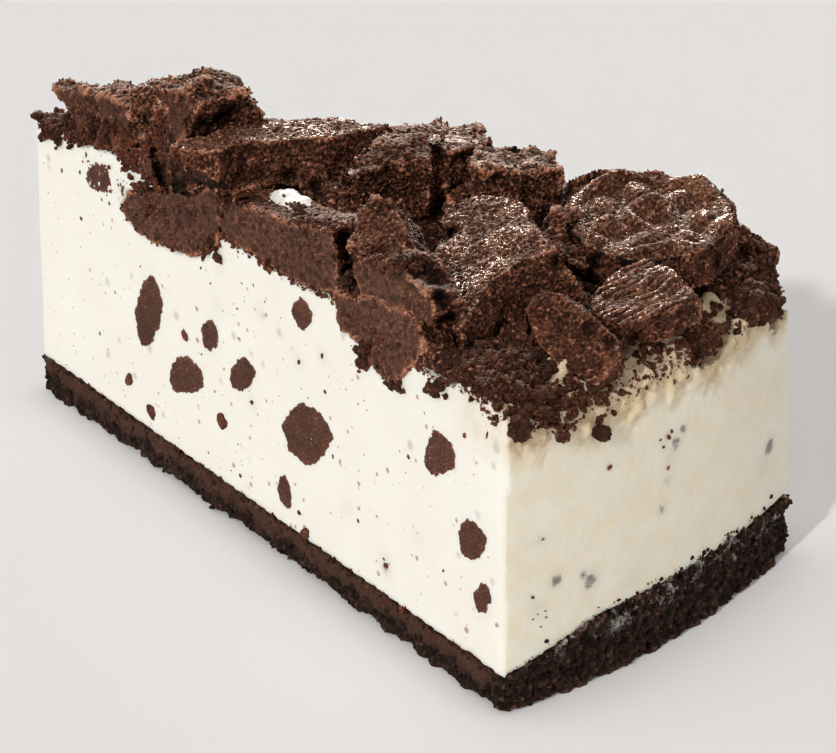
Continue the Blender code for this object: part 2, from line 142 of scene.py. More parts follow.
def linear(hex_colour):
    """A display colour such as F4EFE4 as linear red, green, blue and full opacity."""
    channels = [int(hex_colour[i:i + 2], 16) / 255 for i in (0, 2, 4)]
    return (*[c / 12.92 if c <= 0.04045 else ((c + 0.055) / 1.055) ** 2.4 for c in channels], 1.0)


def set_inputs(node, sockets):
    """Gives each socket a number, a colour, another node's output, or the first output of that node."""
    for name, value in sockets.items():
        if isinstance(name, int):
            socket = node.inputs[name]
        else:
            # A Mix node has a socket of each name for every kind of data, and one of them is in use
            socket = next(own for own in node.inputs if own.name == name and own.enabled)
        if isinstance(value, bpy.types.Node):
            value = next(output for output in value.outputs if output.enabled)
        if isinstance(value, bpy.types.NodeSocket):
            node.id_data.links.new(value, socket)
        else:
            socket.default_value = value


def add_node(tree, kind, sockets=None, stops=(), **settings):
    """Adds a node. A Mix node blends colours. Stops are a ramp's places and colours, from start to end."""
    made = tree.nodes.new("ShaderNode" + kind)
    if kind == "Mix":
        made.data_type = "RGBA"
    for name, value in settings.items():
        setattr(made, name, value)
    set_inputs(made, sockets or {})
    for index, (position, hex_colour) in enumerate(stops):
        stop = made.color_ramp.elements[index] if index < 2 else made.color_ramp.elements.new(position)
        stop.position = position
        stop.color = linear(hex_colour)
    return made


def new_material(name, *numbers):
    """An empty material: its tree, its shader, the object's coordinates, and the mesh's own numbers."""
    material = bpy.data.materials.new(name)
    material.use_nodes = True
    tree = material.node_tree
    coords = add_node(tree, "TexCoord").outputs["Object"]
    read = [add_node(tree, "Attribute", attribute_name=number).outputs["Fac"] for number in numbers]
    print("material:", name)
    return material, tree, tree.nodes["Principled BSDF"], coords, *read


def per(millimetres):
    """The scale of a pattern whose grain is that many millimetres."""
    return 1 / (millimetres * MM)


# %% [markdown]
# The stage is a pale matte floor under one soft sun from the front left, low enough to throw the shadow to
# the right. A white sky that is brighter over the front left fills the rest, as a tent of diffusers does.

# %% Floor and light
bpy.ops.object.select_all(action="DESELECT")
bpy.ops.mesh.primitive_plane_add(size=6)
floor = bpy.context.object
floor.name = "floor"
matte, tree, shader, coords = new_material("matte_paper")
# Seamless paper: nearly white, with a faint unevenness of its pulp, and no gloss
pulp = add_node(tree, "TexNoise", {"Vector": coords, "Scale": per(0.8), "Detail": 2.0})
paper = add_node(tree, "Mix", {"Factor": pulp, "A": linear("EDEBE9"), "B": linear("EBE8E6")})
set_inputs(shader, {"Base Color": paper, "Roughness": 1.0, "Specular IOR Level": 0.0})
floor.data.materials.append(matte)
floor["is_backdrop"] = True

to_sun = Vector((0.18, -0.84, 0.515))
bpy.ops.object.light_add(type="SUN", location=to_sun)
sun = bpy.context.object
sun.rotation_euler = to_sun.to_track_quat("Z", "Y").to_euler()
sun.data.energy = 1.54
sun.data.angle = math.radians(2.2)

# A card behind the slice that only glossy grains catch, for the glints on the baked tops
bpy.ops.object.light_add(type="AREA", location=(-0.62, 0.62, 0.5))
card = bpy.context.object
card.rotation_euler = Vector((-0.62, 0.62, 0.47)).to_track_quat("Z", "Y").to_euler()
card.data.size = 0.6
card.data.energy = 90.0
card.data.color = (1.0, 0.87, 0.76)
card.visible_diffuse = False

world = bpy.data.worlds.new("studio")
world.use_nodes = True
tree = world.node_tree
toward = add_node(tree, "TexCoord").outputs["Generated"]
bright_side = add_node(tree, "VectorMath", {0: toward, 1: (0.0, -0.78, 0.62)}, operation="DOT_PRODUCT")
glow = add_node(tree, "MapRange", {"Value": bright_side, "From Min": -0.7, "To Min": 0.42, "To Max": 0.79})
set_inputs(tree.nodes["Background"], {"Color": (1.0, 0.995, 0.99, 1.0), "Strength": glow})
bpy.context.scene.world = world
bpy.context.scene.view_settings.view_transform = "Standard"
print("lights:", sun.name, card.name, world.name)

# %% [markdown]
# These helpers are the modelling steps that every piece shares. A copied solid arrives as loose triangles,
# so its doubles are merged first. Remesh then gives an even net, fine enough to carry relief, and Displace
# modifiers push that net in and out by a pattern. Each modifier is applied at once, as one would by hand.

# %% Modelling helpers
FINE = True


def pick(obj):
    """Makes an object the only selected one, and the active one."""
    bpy.ops.object.select_all(action="DESELECT")
    obj.select_set(True)
    bpy.context.view_layer.objects.active = obj


def edit(obj, operator, **settings):
    """Runs one edit mode operator on all of an object."""
    pick(obj)
    bpy.ops.object.mode_set(mode="EDIT")
    bpy.ops.mesh.select_all(action="SELECT")
    operator(**settings)
    bpy.ops.object.mode_set(mode="OBJECT")


def finish_with(obj, kind, **settings):
    """Adds a modifier and applies it."""
    modifier = obj.modifiers.new(kind.lower(), kind)
    for name, value in settings.items():
        setattr(modifier, name, value)
    pick(obj)
    bpy.ops.object.modifier_apply(modifier=modifier.name)


def new_piece(name, mesh):
    piece = bpy.data.objects.new(name, mesh)
    mesh.name = name
    bpy.context.scene.collection.objects.link(piece)
    return piece


def copy_of(node, name):
    """A copy of a solid, with its loose triangles merged."""
    piece = new_piece(name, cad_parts[node].data.copy())
    piece.data.materials.clear()
    edit(piece, bpy.ops.mesh.remove_doubles, threshold=1e-6)
    return piece


def join(objects, name):
    """Joins objects into the first of them."""
    pick(objects[0])
    for obj in objects:
        obj.select_set(True)
    bpy.ops.object.join()
    objects[0].name = name
    objects[0].data.name = name
    return objects[0]


def net(obj, millimetres):
    """Rebuilds a shell as an even net of squares of that size."""
    size = millimetres if FINE else max(millimetres, 0.5)
    finish_with(obj, "REMESH", mode="VOXEL", voxel_size=size * MM, use_smooth_shade=True)


# %% [markdown]
# Numpy moves thousands of vertices at once, so a few functions read a piece's points and normals as rows of
# three numbers and write them back. One more splits the squares where finer relief is wanted.

# %% Points as rows of numbers


def vertices(obj, what):
    flat = np.empty(len(obj.data.vertices) * 3)
    obj.data.vertices.foreach_get(what, flat)
    return flat.reshape(-1, 3)


def points_of(obj):
    """The vertices in millimetres from the tip."""
    return from_tip(vertices(obj, "co"))


def normals_of(obj):
    return vertices(obj, "normal")


def move_to(obj, points):
    obj.data.vertices.foreach_set("co", to_frame(points).ravel())
    obj.data.update()


def finer(obj, share, least=0.02):
    """Splits each square in four where the share is above the least."""
    pick(obj)
    for face in obj.data.polygons:
        face.select = bool(share[list(face.vertices)].min() > least)
    print(f"{obj.name}: squares split:", sum(face.select for face in obj.data.polygons))
    bpy.ops.object.mode_set(mode="EDIT")
    bpy.ops.mesh.select_mode(type="FACE")
    bpy.ops.mesh.subdivide(number_cuts=1)
    bpy.ops.object.mode_set(mode="OBJECT")


# %% [markdown]
# A number per vertex says what the surface is there: baked, cut, broken, torn. The materials read it as an
# attribute, and the same number as a vertex group keeps a Displace modifier to its place.

# %% Numbers on the mesh, and relief


def keep(obj, name, values):
    """Keeps a number per vertex as an attribute, for the material."""
    attribute = obj.data.attributes.get(name) or obj.data.attributes.new(name, "FLOAT", "POINT")
    attribute.data.foreach_set("value", values.astype(np.float32))


def kept(obj, name):
    values = np.empty(len(obj.data.vertices), dtype=np.float32)
    obj.data.attributes[name].data.foreach_get("value", values)
    return values


def mark(obj, name, values, levels=20):
    """Keeps a number per vertex twice: as an attribute for the material, as a group for modifiers."""
    keep(obj, name, values)
    group = obj.vertex_groups.new(name=name)
    for level in range(1, levels + 1):
        chosen = np.nonzero(np.round(values * levels) == level)[0]
        if len(chosen):
            group.add(chosen.tolist(), level / levels, "REPLACE")


def roughen(obj, kind, grain, height, where="", mid=0.5, depth=2):
    """Pushes a surface in and out by soft or hard clouds or by cells, sized in millimetres."""
    texture = bpy.data.textures.new(f"{kind}_{grain}", "VORONOI" if kind == "cells" else "CLOUDS")
    texture.noise_scale = grain * MM
    if kind != "cells":
        texture.noise_type = f"{kind.upper()}_NOISE"
        texture.noise_depth = depth
    finish_with(
        obj, "DISPLACE", texture=texture, texture_coords="LOCAL",
        strength=height * MM, mid_level=mid, vertex_group=where,
    )


def mark_lift_shade(obj):
    """Notes how far each vertex stands out of its surroundings: below 0 in a pit, above 0 on a grain."""
    points, normals = points_of(obj), normals_of(obj)
    ends = np.empty(len(obj.data.edges) * 2, dtype=np.int64)
    obj.data.edges.foreach_get("vertices", ends)
    one, other = ends.reshape(-1, 2).T
    total = len(points)
    neighbours = np.maximum(np.bincount(ends, minlength=total), 1)[:, None]
    even, lift_shade = points, np.zeros(total)
    # The net is evened out nine times. Against the second the fine grain shows, against the last the lumps.
    usual_heights = {1: 0.16, 8: 0.15}
    for turn in range(9):
        sums = np.stack([
            np.bincount(one, even[other, axis], total) + np.bincount(other, even[one, axis], total)
            for axis in range(3)
        ], axis=1)
        even = (even + sums / neighbours) / 2
        if turn in usual_heights:
            lift_shade += ((points - even) * normals).sum(1) / usual_heights[turn]
    # The biscuit materials use this number to paint light on what stands out and paint shade in the pits
    keep(obj, "lift_shade", np.clip(lift_shade / 2, -1, 1))


def hand_in(obj, material, slot_name, *nodes):
    """Gives a finished piece its material, its body and the solids it stands for."""
    obj.data.materials.append(material)
    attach(obj, "root")
    if nodes:
        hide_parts(*nodes)
    print(f"{obj.name}: {sum(len(face.vertices) - 2 for face in obj.data.polygons)} triangles")


# %% [markdown]
# The slice has two cut faces. The near one stands upright; the far one leans in a little towards its top.
# How far a point lies outside a cut face decides what the knife left flat.

# %% The cut faces
FACING = {
    "near": np.array((-math.sin(HALF_ANGLE), -math.cos(HALF_ANGLE), 0.0)),
    "far": np.array((-math.sin(HALF_ANGLE), math.cos(HALF_ANGLE), 0.0)),
}
FAR_FACE_LEAN = 2.6


def outside(points, side=None):
    """How far points lie outside a cut face in millimetres, or outside the nearer one of the two."""
    if side is None:
        return np.maximum(outside(points, "near"), outside(points, "far"))
    lean = FAR_FACE_LEAN / CREAM_TOP / CAKE_RADIUS * points[:, 2] * points[:, 0] if side == "far" else 0
    return points @ FACING[side] + lean


def on_cut(side, distance, height, proud=0.0):
    """A place on a cut face, by its distance from the tip along the face and its height."""
    sign = -1 if side == "near" else 1
    point = np.array((distance * math.cos(HALF_ANGLE), sign * distance * math.sin(HALF_ANGLE), height))
    return point + FACING[side] * (proud - outside(point[None], side)[0])


def lay_flat(obj, reach=0.55):
    """Lays what faces a cut, and lies within reach of it, into the cut."""
    points, normals = points_of(obj), normals_of(obj)
    for side, facing in FACING.items():
        depth = outside(points, side)
        share = step(normals @ facing, 0.75, 0.95) * step(depth, -reach * 1.5, -reach)
        points -= (np.maximum(share, depth > 0) * depth)[:, None] * facing
    move_to(obj, points)


def hold_back(obj, proud):
    """Presses what stands proud of the cut faces back to about that many millimetres."""
    points = points_of(obj)
    for side, facing in FACING.items():
        depth = outside(points, side)
        points += (np.where(depth > 0, proud * np.tanh(depth / proud), depth) - depth)[:, None] * facing
    move_to(obj, points)


def draw_out_tip(obj, at_plate=1.3, at_top=0.5, reach=22):
    """Draws the slice's tip out along the near cut, more at the plate than at the top."""
    points = points_of(obj)
    share = at_top + (at_plate - at_top) * (1 - points[:, 2] / CREAM_TOP)
    share *= 1 - step(radius_of(points), 0, reach)
    move_to(obj, points - share[:, None] * on_cut("near", 1.0, 0.0))


print("cut faces:", *(facing.round(3) for facing in FACING.values()))

# %% [markdown]
# The tin was round, while the solid's rim has flat facets. So what faces outwards there is laid on the
# tin's wall.

# %% The rim


def rimward(obj):
    """How squarely each vertex faces away from the cake's axis: 1 on the rim."""
    points = points_of(obj)
    return (normals_of(obj)[:, :2] * points[:, :2]).sum(1) / np.maximum(radius_of(points), 0.001)


def lay_on_rim(obj, inset, reach):
    """Lays what faces outwards, and lies within reach of the tin's wall, on it or a little inside it."""
    points = points_of(obj)
    radius = radius_of(points)
    share = step(rimward(obj), 0.4, 0.6) * step(radius, CAKE_RADIUS - reach, CAKE_RADIUS - reach + 0.8)
    points[:, :2] *= (1 + share * (CAKE_RADIUS - inset - radius) / np.maximum(radius, 1))[:, None]
    move_to(obj, points)


# %% [markdown]
# Set cream is dense, pale and slightly see-through: light enters, spreads a millimetre or two and comes out
# warmer. A knife leaves it satin smooth. Fine biscuit dust is all through it, so the cut shows dark and
# reddish points, and bits that lie just under the skin show as soft grey shadows. Three Voronoi patterns
# give the dust: its points lie in the whole volume, so the cut meets only some of them, as a knife does.

# %% Material: set cream
set_cream, tree, shader, coords, moulded, buried, torn = new_material(
    "set_cream", "moulded", "buried", "torn",
)
cloudy = add_node(tree, "TexNoise", {"Vector": coords, "Scale": per(11), "Detail": 3.0, "Roughness": 0.55})
colour = add_node(tree, "Mix", {"Factor": cloudy, "A": linear("EAE4D7"), "B": linear("F1EEE4")})
wander = add_node(tree, "TexNoise", {"Vector": coords, "Scale": per(0.7), "Detail": 2.0}).outputs["Color"]
uneven = add_node(tree, "VectorMath", {0: wander, 1: (0.5 * MM,) * 3, 2: coords}, operation="MULTIPLY_ADD")
# Each row: spacing of the points, their half width and softness (shares of the spacing), colour, strength
for spacing, width, soft, hex_colour, strength in (
    (1.3, 0.095, 0.08, "7E5747", 0.7),
    (2.1, 0.12, 0.1, "A06A50", 0.75),
    (3.6, 0.15, 0.2, "ADA299", 0.5),
):
    dots = add_node(tree, "TexVoronoi", {"Vector": uneven, "Scale": per(spacing)})
    chance = add_node(tree, "SeparateColor", {"Color": dots.outputs["Color"]})
    reach = add_node(tree, "MapRange", {"Value": chance, "From Min": 0.3, "To Max": width * 2})
    nearer = add_node(tree, "Math", {0: reach, 1: dots}, operation="SUBTRACT")
    shown = add_node(tree, "MapRange", {"Value": moulded, "To Min": strength, "To Max": strength * 0.12})
    mask = add_node(tree, "MapRange", {
        "Value": nearer, "From Max": soft, "To Max": shown,
    }, interpolation_type="SMOOTHSTEP")
    colour = add_node(tree, "Mix", {"Factor": mask, "A": colour, "B": linear(hex_colour)})

# %% [markdown]
# Other tints lie over the dusted cream. The rim was cast against the tin: a closed, warmer skin with yellow
# veins, which hides the dust. Torn cream is yellower still, and biscuit dust stains it in patches.

# %% Tints and relief of the cream
colour = add_node(tree, "Mix", {
    "Factor": moulded, "A": colour, "B": linear("FFFEF8"),
}, blend_type="MULTIPLY")
marbled = add_node(tree, "TexNoise", {
    "Vector": coords, "Scale": per(5), "Detail": 6.0, "Roughness": 0.68, "Distortion": 0.2,
})
veined = add_node(tree, "MapRange", {"Value": marbled, "From Min": 0.4, "From Max": 0.66, "To Max": 0.7})
yellower = add_node(tree, "Math", {0: veined, 1: moulded}, operation="MULTIPLY")
# A bit under the skin is a soft grey halo, darker and nearly sharp where it comes close to the surface
halo = add_node(tree, "Math", {0: buried, 1: 0.55}, operation="MULTIPLY")
ragged = add_node(tree, "TexNoise", {"Vector": coords, "Scale": per(0.9), "Detail": 4.0})
nearness = add_node(tree, "Math", {0: buried, 1: ragged}, operation="ADD")
core = add_node(tree, "MapRange", {
    "Value": nearness, "From Min": 0.86, "From Max": 1.25, "To Max": 0.75,
}, interpolation_type="SMOOTHSTEP")
warm = add_node(tree, "Math", {0: torn, 1: 0.85}, operation="MULTIPLY")
stain = add_node(tree, "TexNoise", {"Vector": coords, "Scale": per(1.6), "Detail": 5.0, "Roughness": 0.75})
stained = add_node(tree, "MapRange", {"Value": stain, "From Min": 0.5, "From Max": 0.7, "To Max": 0.65})
dusted = add_node(tree, "Math", {0: stained, 1: torn}, operation="MULTIPLY")
for mask, hex_colour in (
    (yellower, "ECDBBB"), (halo, "A89C94"), (core, "554544"), (warm, "DCC196"), (dusted, "9C6F4C"),
):
    colour = add_node(tree, "Mix", {"Factor": mask, "A": colour, "B": linear(hex_colour)})
fine = add_node(tree, "TexNoise", {"Vector": coords, "Scale": per(1.4), "Detail": 8.0, "Roughness": 0.68})
worn = add_node(tree, "Math", {0: moulded, 1: 0.5, 2: torn}, operation="MULTIPLY_ADD")
strength = add_node(tree, "MapRange", {"Value": worn, "To Min": 0.35})
relief = add_node(tree, "Bump", {"Height": fine, "Strength": strength, "Distance": 0.3 * MM})
set_inputs(shader, {
    "Base Color": colour, "Normal": relief, "Roughness": 0.46, "IOR": 1.45,
    "Subsurface Weight": 0.35, "Subsurface Radius": (1.0, 0.72, 0.42), "Subsurface Scale": 0.0022,
})
print("nodes in the cream:", len(tree.nodes))

# %% [markdown]
# Chocolate biscuit is flour, fat and dark cocoa. Where it broke it is a crumb of grains half a millimetre
# wide, each with its own shade between near black and red brown, and quite matte. Its baked faces are
# closed, paler and catch the light on fine sugar and fat. Where the knife went through it is packed, even
# and dull. Numbers on the mesh say where each of these is, and how far each grain stands out. By that the
# material paints light on raised grains and paints shade in the pits between them.

# %% Material: chocolate biscuit


def biscuit_material(
    name, grain, height, shades, cut_hex, baked_shades=None, stand=0.5, offset=-0.29, speck=0.3,
):
    """Grains of one size and height, with the shades of broken, baked and cut biscuit.

    Stand says how much painted light a grain that stands up gets and how much painted shade a pit
    gets, offset moves all of them along the shades, and speck says how pale the few palest grains are.
    """
    material, tree, shader, coords, lift_shade, baked, cut, smear = new_material(
        name, "lift_shade", "baked", "cut", "smear",
    )
    shake = add_node(tree, "TexNoise", {"Vector": coords, "Scale": per(grain * 1.3), "Detail": 2.0})
    loose = add_node(tree, "VectorMath", {
        0: shake.outputs["Color"], 1: (grain * MM * 0.8,) * 3, 2: coords,
    }, operation="MULTIPLY_ADD")
    grains = add_node(tree, "TexVoronoi", {"Vector": loose, "Scale": per(grain)})
    shade = add_node(tree, "SeparateColor", {"Color": grains.outputs["Color"]})
    # Clouds of noise, each by its grain, detail and roughness
    patch, zone, film, glaze = (
        add_node(tree, "TexNoise", {"Vector": coords, "Scale": per(size), "Detail": detail, "Roughness": r})
        for size, detail, r in ((grain, 3.0, 0.75), (4.5, 3.0, 0.6), (2.4, 5.0, 0.7), (1.1, 4.0, 0.65))
    )
    # A few grains are much paler than the rest, but hardly where the knife packed them
    palest = add_node(tree, "Math", {0: cut, 1: -0.85 * speck, 2: speck}, operation="MULTIPLY_ADD")
    pale = add_node(tree, "MapRange", {
        "Value": shade.outputs["Blue"], "From Min": 0.91, "From Max": 0.96, "To Max": palest,
    })
    # Painted light and shade: grains that stand up are lighter and redder, and the pits between them are
    # nearly black
    level = offset
    for source, share in ((shade, 0.12), (zone, 0.6), (patch, 0.62), (pale, 1.0), (lift_shade, stand)):
        level = add_node(tree, "Math", {0: source, 1: share, 2: level}, operation="MULTIPLY_ADD")
    broken = add_node(tree, "ValToRGB", {"Fac": level}, stops=shades)
    top = add_node(tree, "ValToRGB", {"Fac": level}, stops=baked_shades or shades)
    packed = add_node(tree, "Mix", {"Factor": 0.55, "A": broken, "B": linear(cut_hex)})
    # The knife and the plate leave a little cream smeared on the crumb where it meets the filling
    filmed = add_node(tree, "MapRange", {"Value": film, "From Min": 0.53, "From Max": 0.66, "To Max": 0.7})
    wiped = add_node(tree, "Math", {0: filmed, 1: smear}, operation="MULTIPLY")
    colour = broken
    for mask, over in ((baked, top), (cut, packed), (wiped, linear("CFC8BE"))):
        colour = add_node(tree, "Mix", {"Factor": mask, "A": colour, "B": over})
    # Some grains are sugar or fat: on a baked face they shine, on a broken one hardly
    fatty = add_node(tree, "Math", {
        0: shade.outputs["Green"], 1: 0.3, 2: glaze,
    }, operation="MULTIPLY_ADD")
    shiny = add_node(tree, "MapRange", {"Value": fatty, "From Min": 0.6, "From Max": 0.74})
    greasy = add_node(tree, "MapRange", {"Value": zone, "From Min": 0.43, "From Max": 0.56, "To Min": 0.1})
    polish = add_node(tree, "MapRange", {"Value": baked, "To Min": 0.1, "To Max": 0.77})
    sheen = add_node(tree, "Math", {0: shiny, 1: greasy}, operation="MULTIPLY")
    gloss = add_node(tree, "Math", {0: sheen, 1: polish}, operation="MULTIPLY")
    rough = add_node(tree, "Math", {0: 0.92, 1: gloss}, operation="SUBTRACT")
    crumbly = add_node(tree, "TexNoise", {
        "Vector": coords, "Scale": per(grain * 1.4), "Detail": 3.0, "Roughness": 0.6,
    }, noise_type="RIDGED_MULTIFRACTAL", normalize=False)
    lumps = add_node(tree, "Math", {0: grains, 1: -0.8, 2: crumbly}, operation="MULTIPLY_ADD")
    relief = add_node(tree, "Bump", {"Height": lumps, "Strength": 1.0, "Distance": height * MM})
    set_inputs(shader, {
        "Base Color": colour, "Roughness": rough, "Normal": relief, "IOR": 1.5,
        "Specular IOR Level": 0.28, "Specular Tint": linear("FFDCC8"),
    })
    return material


# %% [markdown]
# Four finishes share that recipe: the baked biscuits, the dry loose crumb, a lighter and redder crumb for
# the crumbs and flakes on the cream, and the base, which butter makes darker and duller.

# %% The four biscuit finishes
baked_biscuit = biscuit_material(
    "broken_cocoa_biscuit", 0.42, 0.42,
    ((0.0, "080402"), (0.33, "371D13"), (0.62, "744632"), (1.0, "C88C6E")), "67493D",
    baked_shades=((0.0, "100703"), (0.33, "442719"), (0.62, "8E6149"), (1.0, "DDB096")),
)
loose_crumb = biscuit_material(
    "loose_cocoa_crumb", 0.4, 0.3,
    ((0.0, "0A0503"), (0.33, "2F1A11"), (0.62, "633C2B"), (1.0, "B07A60")), "4F3428",
)
# Lighter and redder than the loose crumb
lighter_red_crumb = biscuit_material(
    "lighter_red_cocoa_crumb", 0.4, 0.2,
    ((0.0, "22100A"), (0.35, "44231A"), (0.65, "6B3C2B"), (1.0, "A5694A")), "4F3428", offset=-0.17,
)
pressed_crumb = biscuit_material(
    "butter_bound_crumb", 0.45, 0.32,
    ((0.0, "050302"), (0.33, "1A110D"), (0.62, "35241D"), (1.0, "755040")), "5C3E31",
    stand=0.34, offset=-0.3, speck=0.22,
)

# %% [markdown]
# The cream is the filling solid. In the solid each bit of biscuit has its own pocket with a gap round it,
# while on the real slice they are one, so a slightly grown copy of every bit is joined in before Remesh
# melts them together. The knife's two faces are then laid flat again, and the rim on the tin's wall.

# %% Cream
NEAR_BITS = (
    "bit_crumbly", "bit_tall", "bit_narrow", "bit_triangle", "bit_slim", "bit_largest", "bit_upper",
    "bit_long", "bit_corner", "bit_foot", "bit_low",
)
FAR_BITS = ("far_bit_tall", "far_bit_round", "far_bit_largest", "far_bit_slim", "far_bit_wide")
plugs = []
for node in NEAR_BITS + FAR_BITS:
    plug = copy_of(node, f"plug_{node}")
    move_to(plug, points_of(plug) + normals_of(plug) * 0.5)
    plugs.append(plug)
cream = join([copy_of("filling", "cream_body")] + plugs, "cream_body")
net(cream, 0.68)
finish_with(cream, "SMOOTH", factor=0.5, iterations=2)
lay_flat(cream)
draw_out_tip(cream)
lay_on_rim(cream, 0.2, 3.2)
points = points_of(cream)
at_rim = step(radius_of(points), 103, 107)
# Under the corner heap the cream stands a little higher, so that the crumbs rest on it
points[:, 2] += 2.0 * step(points[:, 2], 35.5, 38.0) * at_rim * (1 - step(points[:, 1], -17, -12))
# The far corner of the rim is worn round and leans in a little
far_corner = step(points[:, 1], 19, 29) * step(points[:, 0], 100, 110)
points[:, 1] -= 1.1 * far_corner * step(points[:, 2], 18, 41)
points[:, 2] -= 1.6 * far_corner * step(points[:, 2], 34, 41)
move_to(cream, points)
print("cream:", len(points), "points")

# %% [markdown]
# Along the rim's top the cream was torn as the slice was lifted, so that strip gets a finer net and rough,
# soft lumps. Shadows of the bits under the skin are kept as a number too, and need the finer net as well.

# %% Torn shoulder and buried bits
# Bits that lie under the skin of each face: distance along it, height, radius, darkness
BURIED = {
    "near": (
        (89.1, 9.8, 1.6, 0.5), (25.0, 39.2, 1.5, 0.45), (74.6, 33.6, 1.3, 0.3), (69.1, 30.6, 1.2, 0.3),
        (57.4, 20.2, 1.4, 0.3), (49.0, 31.0, 1.6, 0.2), (96.0, 17.0, 1.8, 0.18), (80.0, 14.0, 1.6, 0.2),
        (60.0, 34.0, 1.4, 0.2),
    ),
    "rim": (
        (-21.8, 16.4, 1.1, 0.75), (-16.1, 14.5, 1.5, 0.7), (-17.4, 15.9, 0.8, 0.7), (-3.4, 19.8, 0.9, 0.65),
        (21.9, 18.4, 1.5, 0.85), (20.6, 16.6, 2.2, 0.3), (-0.9, 28.2, 1.2, 0.7), (0.4, 29.6, 0.9, 0.7),
        (-2.2, 26.6, 1.0, 0.35), (-24.3, 23.0, 0.8, 0.4), (-2.5, 23.4, 1.0, 0.45), (-24.8, 13.6, 1.3, 0.3),
        (12.0, 26.0, 3.0, 0.14), (16.0, 31.0, 3.5, 0.12), (6.0, 14.5, 2.2, 0.14), (-9.0, 12.0, 2.0, 0.2),
        (9.0, 33.0, 2.5, 0.14), (24.0, 27.0, 2.2, 0.2),
    ),
    "far": (
        (70.0, 33.0, 1.6, 0.5), (52.0, 12.0, 1.4, 0.5), (87.0, 22.0, 1.8, 0.5), (36.0, 34.0, 1.3, 0.4),
        (103.0, 31.0, 1.5, 0.5), (20.0, 27.0, 1.2, 0.4),
    ),
}


def shadow_of(points):
    """How strongly the buried bits show at each point."""
    shadow = np.zeros(len(points))
    for side, bits in BURIED.items():
        for along, up, wide, dark in bits:
            if side == "rim":
                gap = np.hypot(points[:, 1] - along, points[:, 2] - up) + 9 * (points[:, 0] < 100)
            else:
                gap = np.linalg.norm(points - on_cut(side, along, up), axis=1)
            shadow = np.maximum(shadow, dark * np.exp(-(gap / wide) ** 2))
    return shadow


torn_from = 31.8 + 1.6 * np.sin(points[:, 1] * 0.55 + 1.0) * np.sin(points[:, 1] * 0.23)
torn_share = step(points[:, 2], torn_from, torn_from + 5.6) * at_rim
torn_share *= 1 - 0.75 * step(outside(points, "near"), -1.0, -0.3)
mark(cream, "torn", torn_share)
finer(cream, np.maximum(torn_share, shadow_of(points_of(cream))))
roughen(cream, "soft", 3.0, 2.2, "torn", mid=0.6, depth=1)
roughen(cream, "cells", 1.9, 1.0, "torn", mid=0.4)
roughen(cream, "soft", 1.2, 1.5, "torn", depth=4)
roughen(cream, "soft", 2.0, 0.07)
points = points_of(cream)
keep(cream, "buried", shadow_of(points))
keep(cream, "moulded", step(rimward(cream), 0.6, 1.0) * (1 - step(points[:, 2], 36, 40)))
hand_in(cream, set_cream, "cream", "filling")

# %% [markdown]
# The base is biscuit crumb bound with butter and pressed into the tin. The knife packed the upper half of
# its cut sides smooth and left the lower half open, and the rim is open too. Three grain patterns roughen
# what is open, and its underside stays on the plate it stood on.

# %% Pressed base
base = copy_of("base", "pressed_base")
net(base, 0.55)
lay_on_rim(base, 0.3, 3.6)
points = points_of(base)
edge = np.maximum.reduce((
    step(outside(points, "near"), -1.2, -0.8),
    step(outside(points, "far"), -1.4, -1.0),
    step(radius_of(points), 112.4, 112.8),
))
finer(base, edge * (points[:, 2] > 0.3))
draw_out_tip(base)
points = points_of(base)
radius = radius_of(points)
halfway = 2.8 + 0.6 * np.sin(radius * 0.5) + 0.4 * np.sin(radius * 1.7 + 1)
packed = step(outside(points), -1.0, -0.3) * step(points[:, 2], halfway - 1.0, halfway + 1.0)
packed *= 1 - step(radius, 111, 113.5)
mark(base, "cut", 0.85 * packed)
mark(base, "open", 1 - 0.45 * packed)
roughen(base, "soft", 2.6, 1.5, "open")
roughen(base, "hard", 1.8, -1.4, "open", mid=0.3, depth=3)
roughen(base, "soft", 0.7, 0.45, "open")

# %% [markdown]
# Its upper edge crumbled into an uneven line, and its foot runs in and out a little along the plate. At the
# rim the knife smeared cream down over it, which a number on the mesh passes to the material.

# %% Edges of the base


def ragged_line(along):
    """An uneven line of waves of different lengths, from 0 to about 1.4 mm high."""
    line = 0
    for length, height in ((7.1, 0.35), (3.3, 0.4), (1.7, 0.35), (0.9, 0.3)):
        line = line + height * (0.5 + 0.5 * np.sin(along / length * 2 * math.pi + length * 5))
    return line


points = points_of(base)
radius = radius_of(points)
at_rim = step(radius, 112.6, 114.0)
at_cut = step(outside(points), -1.0, -0.3)
along = np.where(at_rim > 0, np.arctan2(points[:, 1], points[:, 0]) * CAKE_RADIUS, radius)
upper = step(points[:, 2], points[:, 2].max() - 3.2, points[:, 2].max() - 1.6)
far_corner = step(points[:, 1], 20, 29) * step(points[:, 0], 100, 108)
crumbling = upper * np.maximum(at_rim, at_cut * 0.75) * (1 - far_corner)
foot = at_cut * (1 - step(points[:, 2], 0.5, 3.0))
points[:, 1] += np.sign(points[:, 1]) * foot * 0.45 * np.sin(along * 0.55) * np.sin(along * 1.3 + 2)
points[:, 2] += crumbling * (1.4 * ragged_line(along) - 0.6)
points[:, :2] *= (1 + 0.35 * upper * at_rim / CAKE_RADIUS)[:, None]
points[:, 1] -= 0.5 * far_corner * step(points[:, 2], 1, 6)
points[:, 2] -= 0.2 * far_corner * upper
# Nothing stands more than 0.4 mm out of the tin's wall or 0.35 mm out of a cut, or under the plate
radius = radius_of(points)
over_rim = np.maximum(radius - CAKE_RADIUS, 0)
points[:, :2] *= (1 - (over_rim - 0.4 * np.tanh(over_rim / 0.4)) / radius)[:, None]
move_to(base, points)
hold_back(base, 0.35)
mark_lift_shade(base)
points = points_of(base)
points[:, 2] = np.maximum(points[:, 2], 0.0)
move_to(base, points)
keep(base, "smear", step(points[:, 2], 4.6, 7.5) * step(radius_of(points), 109, 112))
hand_in(base, pressed_crumb, "base_biscuit", "base")

